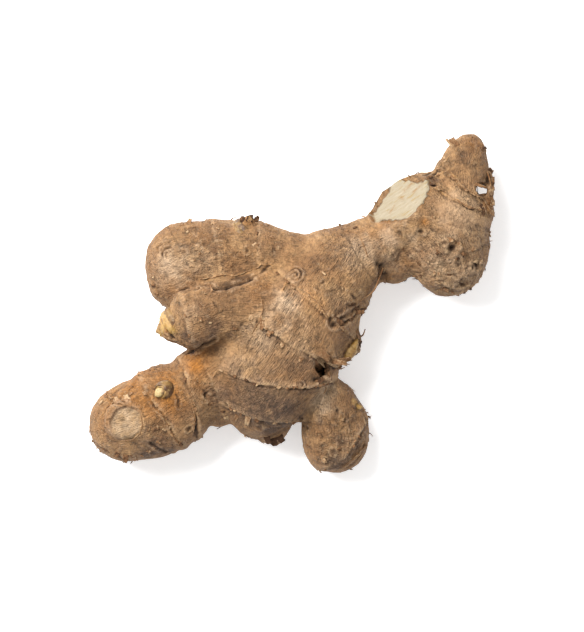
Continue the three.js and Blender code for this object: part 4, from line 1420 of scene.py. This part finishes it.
def ginger_skin_material():
    """Corky ginger skin, air-dried: matt, fibrous along each lobe, darker in its hollows with dirt and
    painted shade, and lighter on its crests with a painted highlight.
    """
    return build_material(
        "corky ginger skin",
        "#86623f",
        {"Roughness": 0.74, "Specular IOR Level": 0.3},
        patterns={
            # fibres about 0.2 mm apart in life, drawn coarser so that they show
            "fibre": ["threads", 0.74, 3.0, 0.65],
            "fine fibre": ["threads", 0.35, 2.0, 0.65],
            "cloud": ["body", 11.0, 4.0, 0.62],
            "mottle": ["body", 3.2, 4.0, 0.7],
            "curl": ["body", 1.5, 3.0, 0.7],
            "dust": ["body", 0.8, 3.0, 0.7],
        },
        masks=MASKS_OF_THE_SKIN[1:],
        layers=[
            # tan and brown skin
            ["#9c7851", 1.0, None, "cloud", 0.36, 0.64],
            ["#a58564", 0.55, "banded", None, 0, 0],
            ["#68462a", 0.6, "scurf", "mottle", 0.46, 0.68],
            # stains, the grey and dusky ones partly painted shade and the pale one partly painted light
            ["#9a6327", 1.0, "ochre", "cloud", 1.0, 0.3],
            ["#c2a688", 1.0, "pale_and_painted_light", "mottle", 1.0, 0.3],
            ["#564030", 1.0, "grey_and_painted_shade", "mottle", 0.2, 0.5],
            ["#6c4d31", 0.85, "dusky_and_painted_shade", "mottle", 0.1, 0.5],
            # the stem scar's plate
            ["#a78c6d", 0.85, "plate", None, 0, 0],
            ["#997a57", 0.85, "plate", "mottle", 0.4, 0.6],
            # paler before a ring's lip, and darker past it with dirt and painted shade
            ["#b09070", 0.5, "crest", None, 0, 0],
            ["#523a27", 0.6, "dirt_and_shade_past_ring", None, 0, 0],
            # young scales round the buds, olive where they are old
            ["#6d5230", 1.0, "bud", None, 0, 0],
            ["#b08a45", 1.0, "bud", "mottle", 0.4, 0.55],
        ],
        # threads along the lobe and cork scales darken or lighten whatever tone lies there
        tones=[
            ["fibre", "runs", 1.0],
            ["fine fibre", "runs", 1.9],
            ["curl", None, 0.85],
            ["curl", "corky", 1.0],
            ["dust", None, 1.0],
            ["dust", "corky", 1.0],
            ["mottle", None, -0.7],
        ],
        over=[
            # a painted highlight on the crests, and dirt and painted shade in the hollows
            ["#bb9c7d", 0.45, "painted_crest_highlight", None, 0, 0],
            ["#352213", 0.65, "nook_dirt_and_shade", None, 0, 0],
            ["#43301f", 0.4, "hollow_dirt_and_shade", None, 0, 0],
            # loose flecks, dark and light
            ["#3b2716", 0.5, "corky", "dust", 0.60, 0.72],
            ["#cbae86", 0.4, "corky", "dust", 0.40, 0.29],
            # the worn lip of a ring, and the painted shadow line behind it
            ["#b39163", 0.65, "lip", "curl", 0.4, 0.6],
            ["#28180d", 0.8, "painted_ring_shadow_line", "curl", 0.7, 0.45],
            # the scale edges' pale orange: their own colour and a painted highlight
            ["#b08048", 0.75, "ridge_colour_and_highlight", "curl", 0.3, 0.6],
            # scars with dark middles, partly painted shade, eyes with dirt and painted shade in their
            # grooves, the stem scar's torn rim, and cracks with painted shade in them
            ["#a98a62", 0.6, "rim", "curl", 0.3, 0.65],
            ["#2c1b0f", 1.0, "pit", "dust", 0.25, 0.55],
            ["#33200f", 0.9, "eye", "curl", 0.75, 0.4],
            ["#3b2615", 0.8, "torn", "mottle", 0.62, 0.45],
            ["#2f1d0e", 0.75, "crack_colour_and_painted_shade", None, 0, 0],
            ["#140c07", 1.0, "deep_crack_colour_and_painted_shade", None, 0, 0],
            # the snapped face: an orange brown rim, then pale flesh with cut fibres
            ["#84592c", 1.0, "healed", "mottle", 0.3, 0.5],
            ["#8c816c", 1.0, "flesh", None, 0, 0],
            ["#7d6a4b", 0.45, "flesh", "fine fibre", 0.5, 0.66],
            ["#82682f", 0.6, "flesh", "fibre", 0.56, 0.66],
            ["#9b907c", 0.5, "flesh", "fibre", 0.46, 0.34],
            ["#775018", 0.85, "streak", "fine fibre", 0.7, 0.4],
        ],
        relief=[
            ["fibre", "runs", 0.75],
            ["fine fibre", "runs", 1.0],
            ["curl", "corky", 1.0],
            ["dust", "corky", 1.0],
        ],
        depth=1.5,
    )


def young_scale_material():
    """Young scale leaves of a ginger bud: waxy yellow when fresh, brown and papery when old."""
    return build_material(
        "ginger bud scale",
        "#9d7c46",
        {"Roughness": 0.5, "Specular IOR Level": 0.4},
        # veins less than half a millimetre apart in life, drawn coarser so that they show
        patterns={"veins": ["body", 0.9, 3.0, 0.6], "patch": ["body", 2.4, 3.0, 0.6]},
        shifted={"aged": ["age", "patch", 0.9]},
        masks=["age"],
        layers=[
            ["#97702f", 1.0, None, "patch", 0.4, 0.6],
            ["#aa9364", 1.0, None, "aged", -0.05, -0.3],
            ["#7d5f36", 1.0, None, "aged", 0.3, 0.65],
            ["#513722", 1.0, None, "aged", 0.7, 1.0],
            ["#b79c69", 0.35, None, "veins", 0.55, 0.68],
            ["#4b3118", 0.55, None, "veins", 0.44, 0.32],
        ],
        relief=[["veins", None, 1.0]],
        depth=0.35,
    )


def husk_material():
    """Dead papery husk and cork scurf, dry and matt, from bleached tan to dark brown."""
    return build_material(
        "dry ginger husk",
        "#3f2817",
        {"Roughness": 0.8, "Specular IOR Level": 0.25},
        # fibres about 0.2 mm apart in life, drawn coarser so that they show
        patterns={"fibres": ["body", 0.6, 3.0, 0.7]},
        shifted={"shaded": ["tone", "fibres", 1.2]},
        masks=["tone"],
        layers=[
            ["#7a5738", 1.0, None, "shaded", 0.05, 0.5],
            ["#a98c6a", 1.0, None, "shaded", 0.5, 1.0],
        ],
        relief=[["fibres", None, 1.0]],
        depth=0.4,
    )


def root_hair_material():
    """Dried root fibre: thin, orange brown and matt."""
    return build_material(
        "dried root fibre",
        "#6e4a2c",
        {"Roughness": 0.75, "Specular IOR Level": 0.25},
        patterns={"knots": ["body", 0.8, 2.0, 0.6]},
        layers=[["#8d6c4a", 1.0, None, "knots", 0.4, 0.62]],
        relief=[["knots", None, 1.0]],
        depth=0.2,
    )


def table_material():
    """A matt white studio board, lit from below a little, as for cut-out photographs."""
    return build_material(
        "white studio board",
        "#f4f4f4",
        {
            "Roughness": 0.9,
            "Specular IOR Level": 0.2,
            "Emission Color": linear("#ffffff"),
            "Emission Strength": 0.42,
        },
    )


# The studio

# A soft lamp high over the photograph's upper left, aimed at the table's middle, in metres and watts
LAMP = {"across": 0.55, "down": 0.45, "place": (-0.41, 0.39, 0.68), "power": 17.2}
ROOM_LIGHT = 0.64
TABLE_HALF = 1.5  # metres from the table's middle to its edge
SENSOR_HEIGHT = 36.0


def build_studio():
    """The white room, its lamp, the table and the camera over the photograph's middle."""
    scene = bpy.context.scene
    scene.view_settings.view_transform = "Standard"
    world = bpy.data.worlds.new("soft white room")
    scene.world = world
    world.use_nodes = True
    background = world.node_tree.nodes["Background"]
    background.inputs["Color"].default_value = (1.0, 1.0, 1.0, 1.0)
    background.inputs["Strength"].default_value = ROOM_LIGHT

    key = bpy.data.lights.new("window light", "AREA")
    key.shape = "RECTANGLE"
    key.size = LAMP["across"]
    key.size_y = LAMP["down"]
    key.energy = LAMP["power"]
    lamp = bpy.data.objects.new("window light", key)
    lamp.location = LAMP["place"]
    lamp.rotation_euler = (-Vector(lamp.location)).to_track_quat("-Z", "Y").to_euler()
    scene.collection.objects.link(lamp)

    form = bmesh.new()
    bmesh.ops.create_grid(form, x_segments=2, y_segments=2, size=TABLE_HALF)
    mesh = bpy.data.meshes.new("table")
    form.to_mesh(mesh)
    form.free()
    table = bpy.data.objects.new("table", mesh)
    mesh.materials.append(table_material())
    scene.collection.objects.link(table)

    lens = bpy.data.cameras.new("camera")
    lens.sensor_fit = "VERTICAL"
    lens.sensor_height = SENSOR_HEIGHT
    seen = PHOTO_SIZE[1] * PIXEL
    lens.lens = lens.sensor_height * (CAMERA_HEIGHT - SHARP_HEIGHT) / seen
    lens.clip_start = 0.01
    camera = bpy.data.objects.new("camera", lens)
    camera.location = camera_place() * MM
    scene.collection.objects.link(camera)
    scene.camera = camera


build_studio()
skin, skin_tree, skin_places, skin_normals, rings, ring_forces, growths, roughness = grow_skin()
skin.data.materials.clear()
skin.data.materials.append(ginger_skin_material())

bud_finish = young_scale_material()
for bud_name, (bud_foot, bud_tip, bud_sheaths) in BUDS.items():
    build_bud(bud_name, bud_foot, bud_tip, bud_sheaths, bud_finish)
build_shreds(
    skin_tree, skin_places, skin_normals, rings, ring_forces, growths, roughness, husk_material()
)
build_hairs(skin_tree, skin_places, skin_normals, root_hair_material())
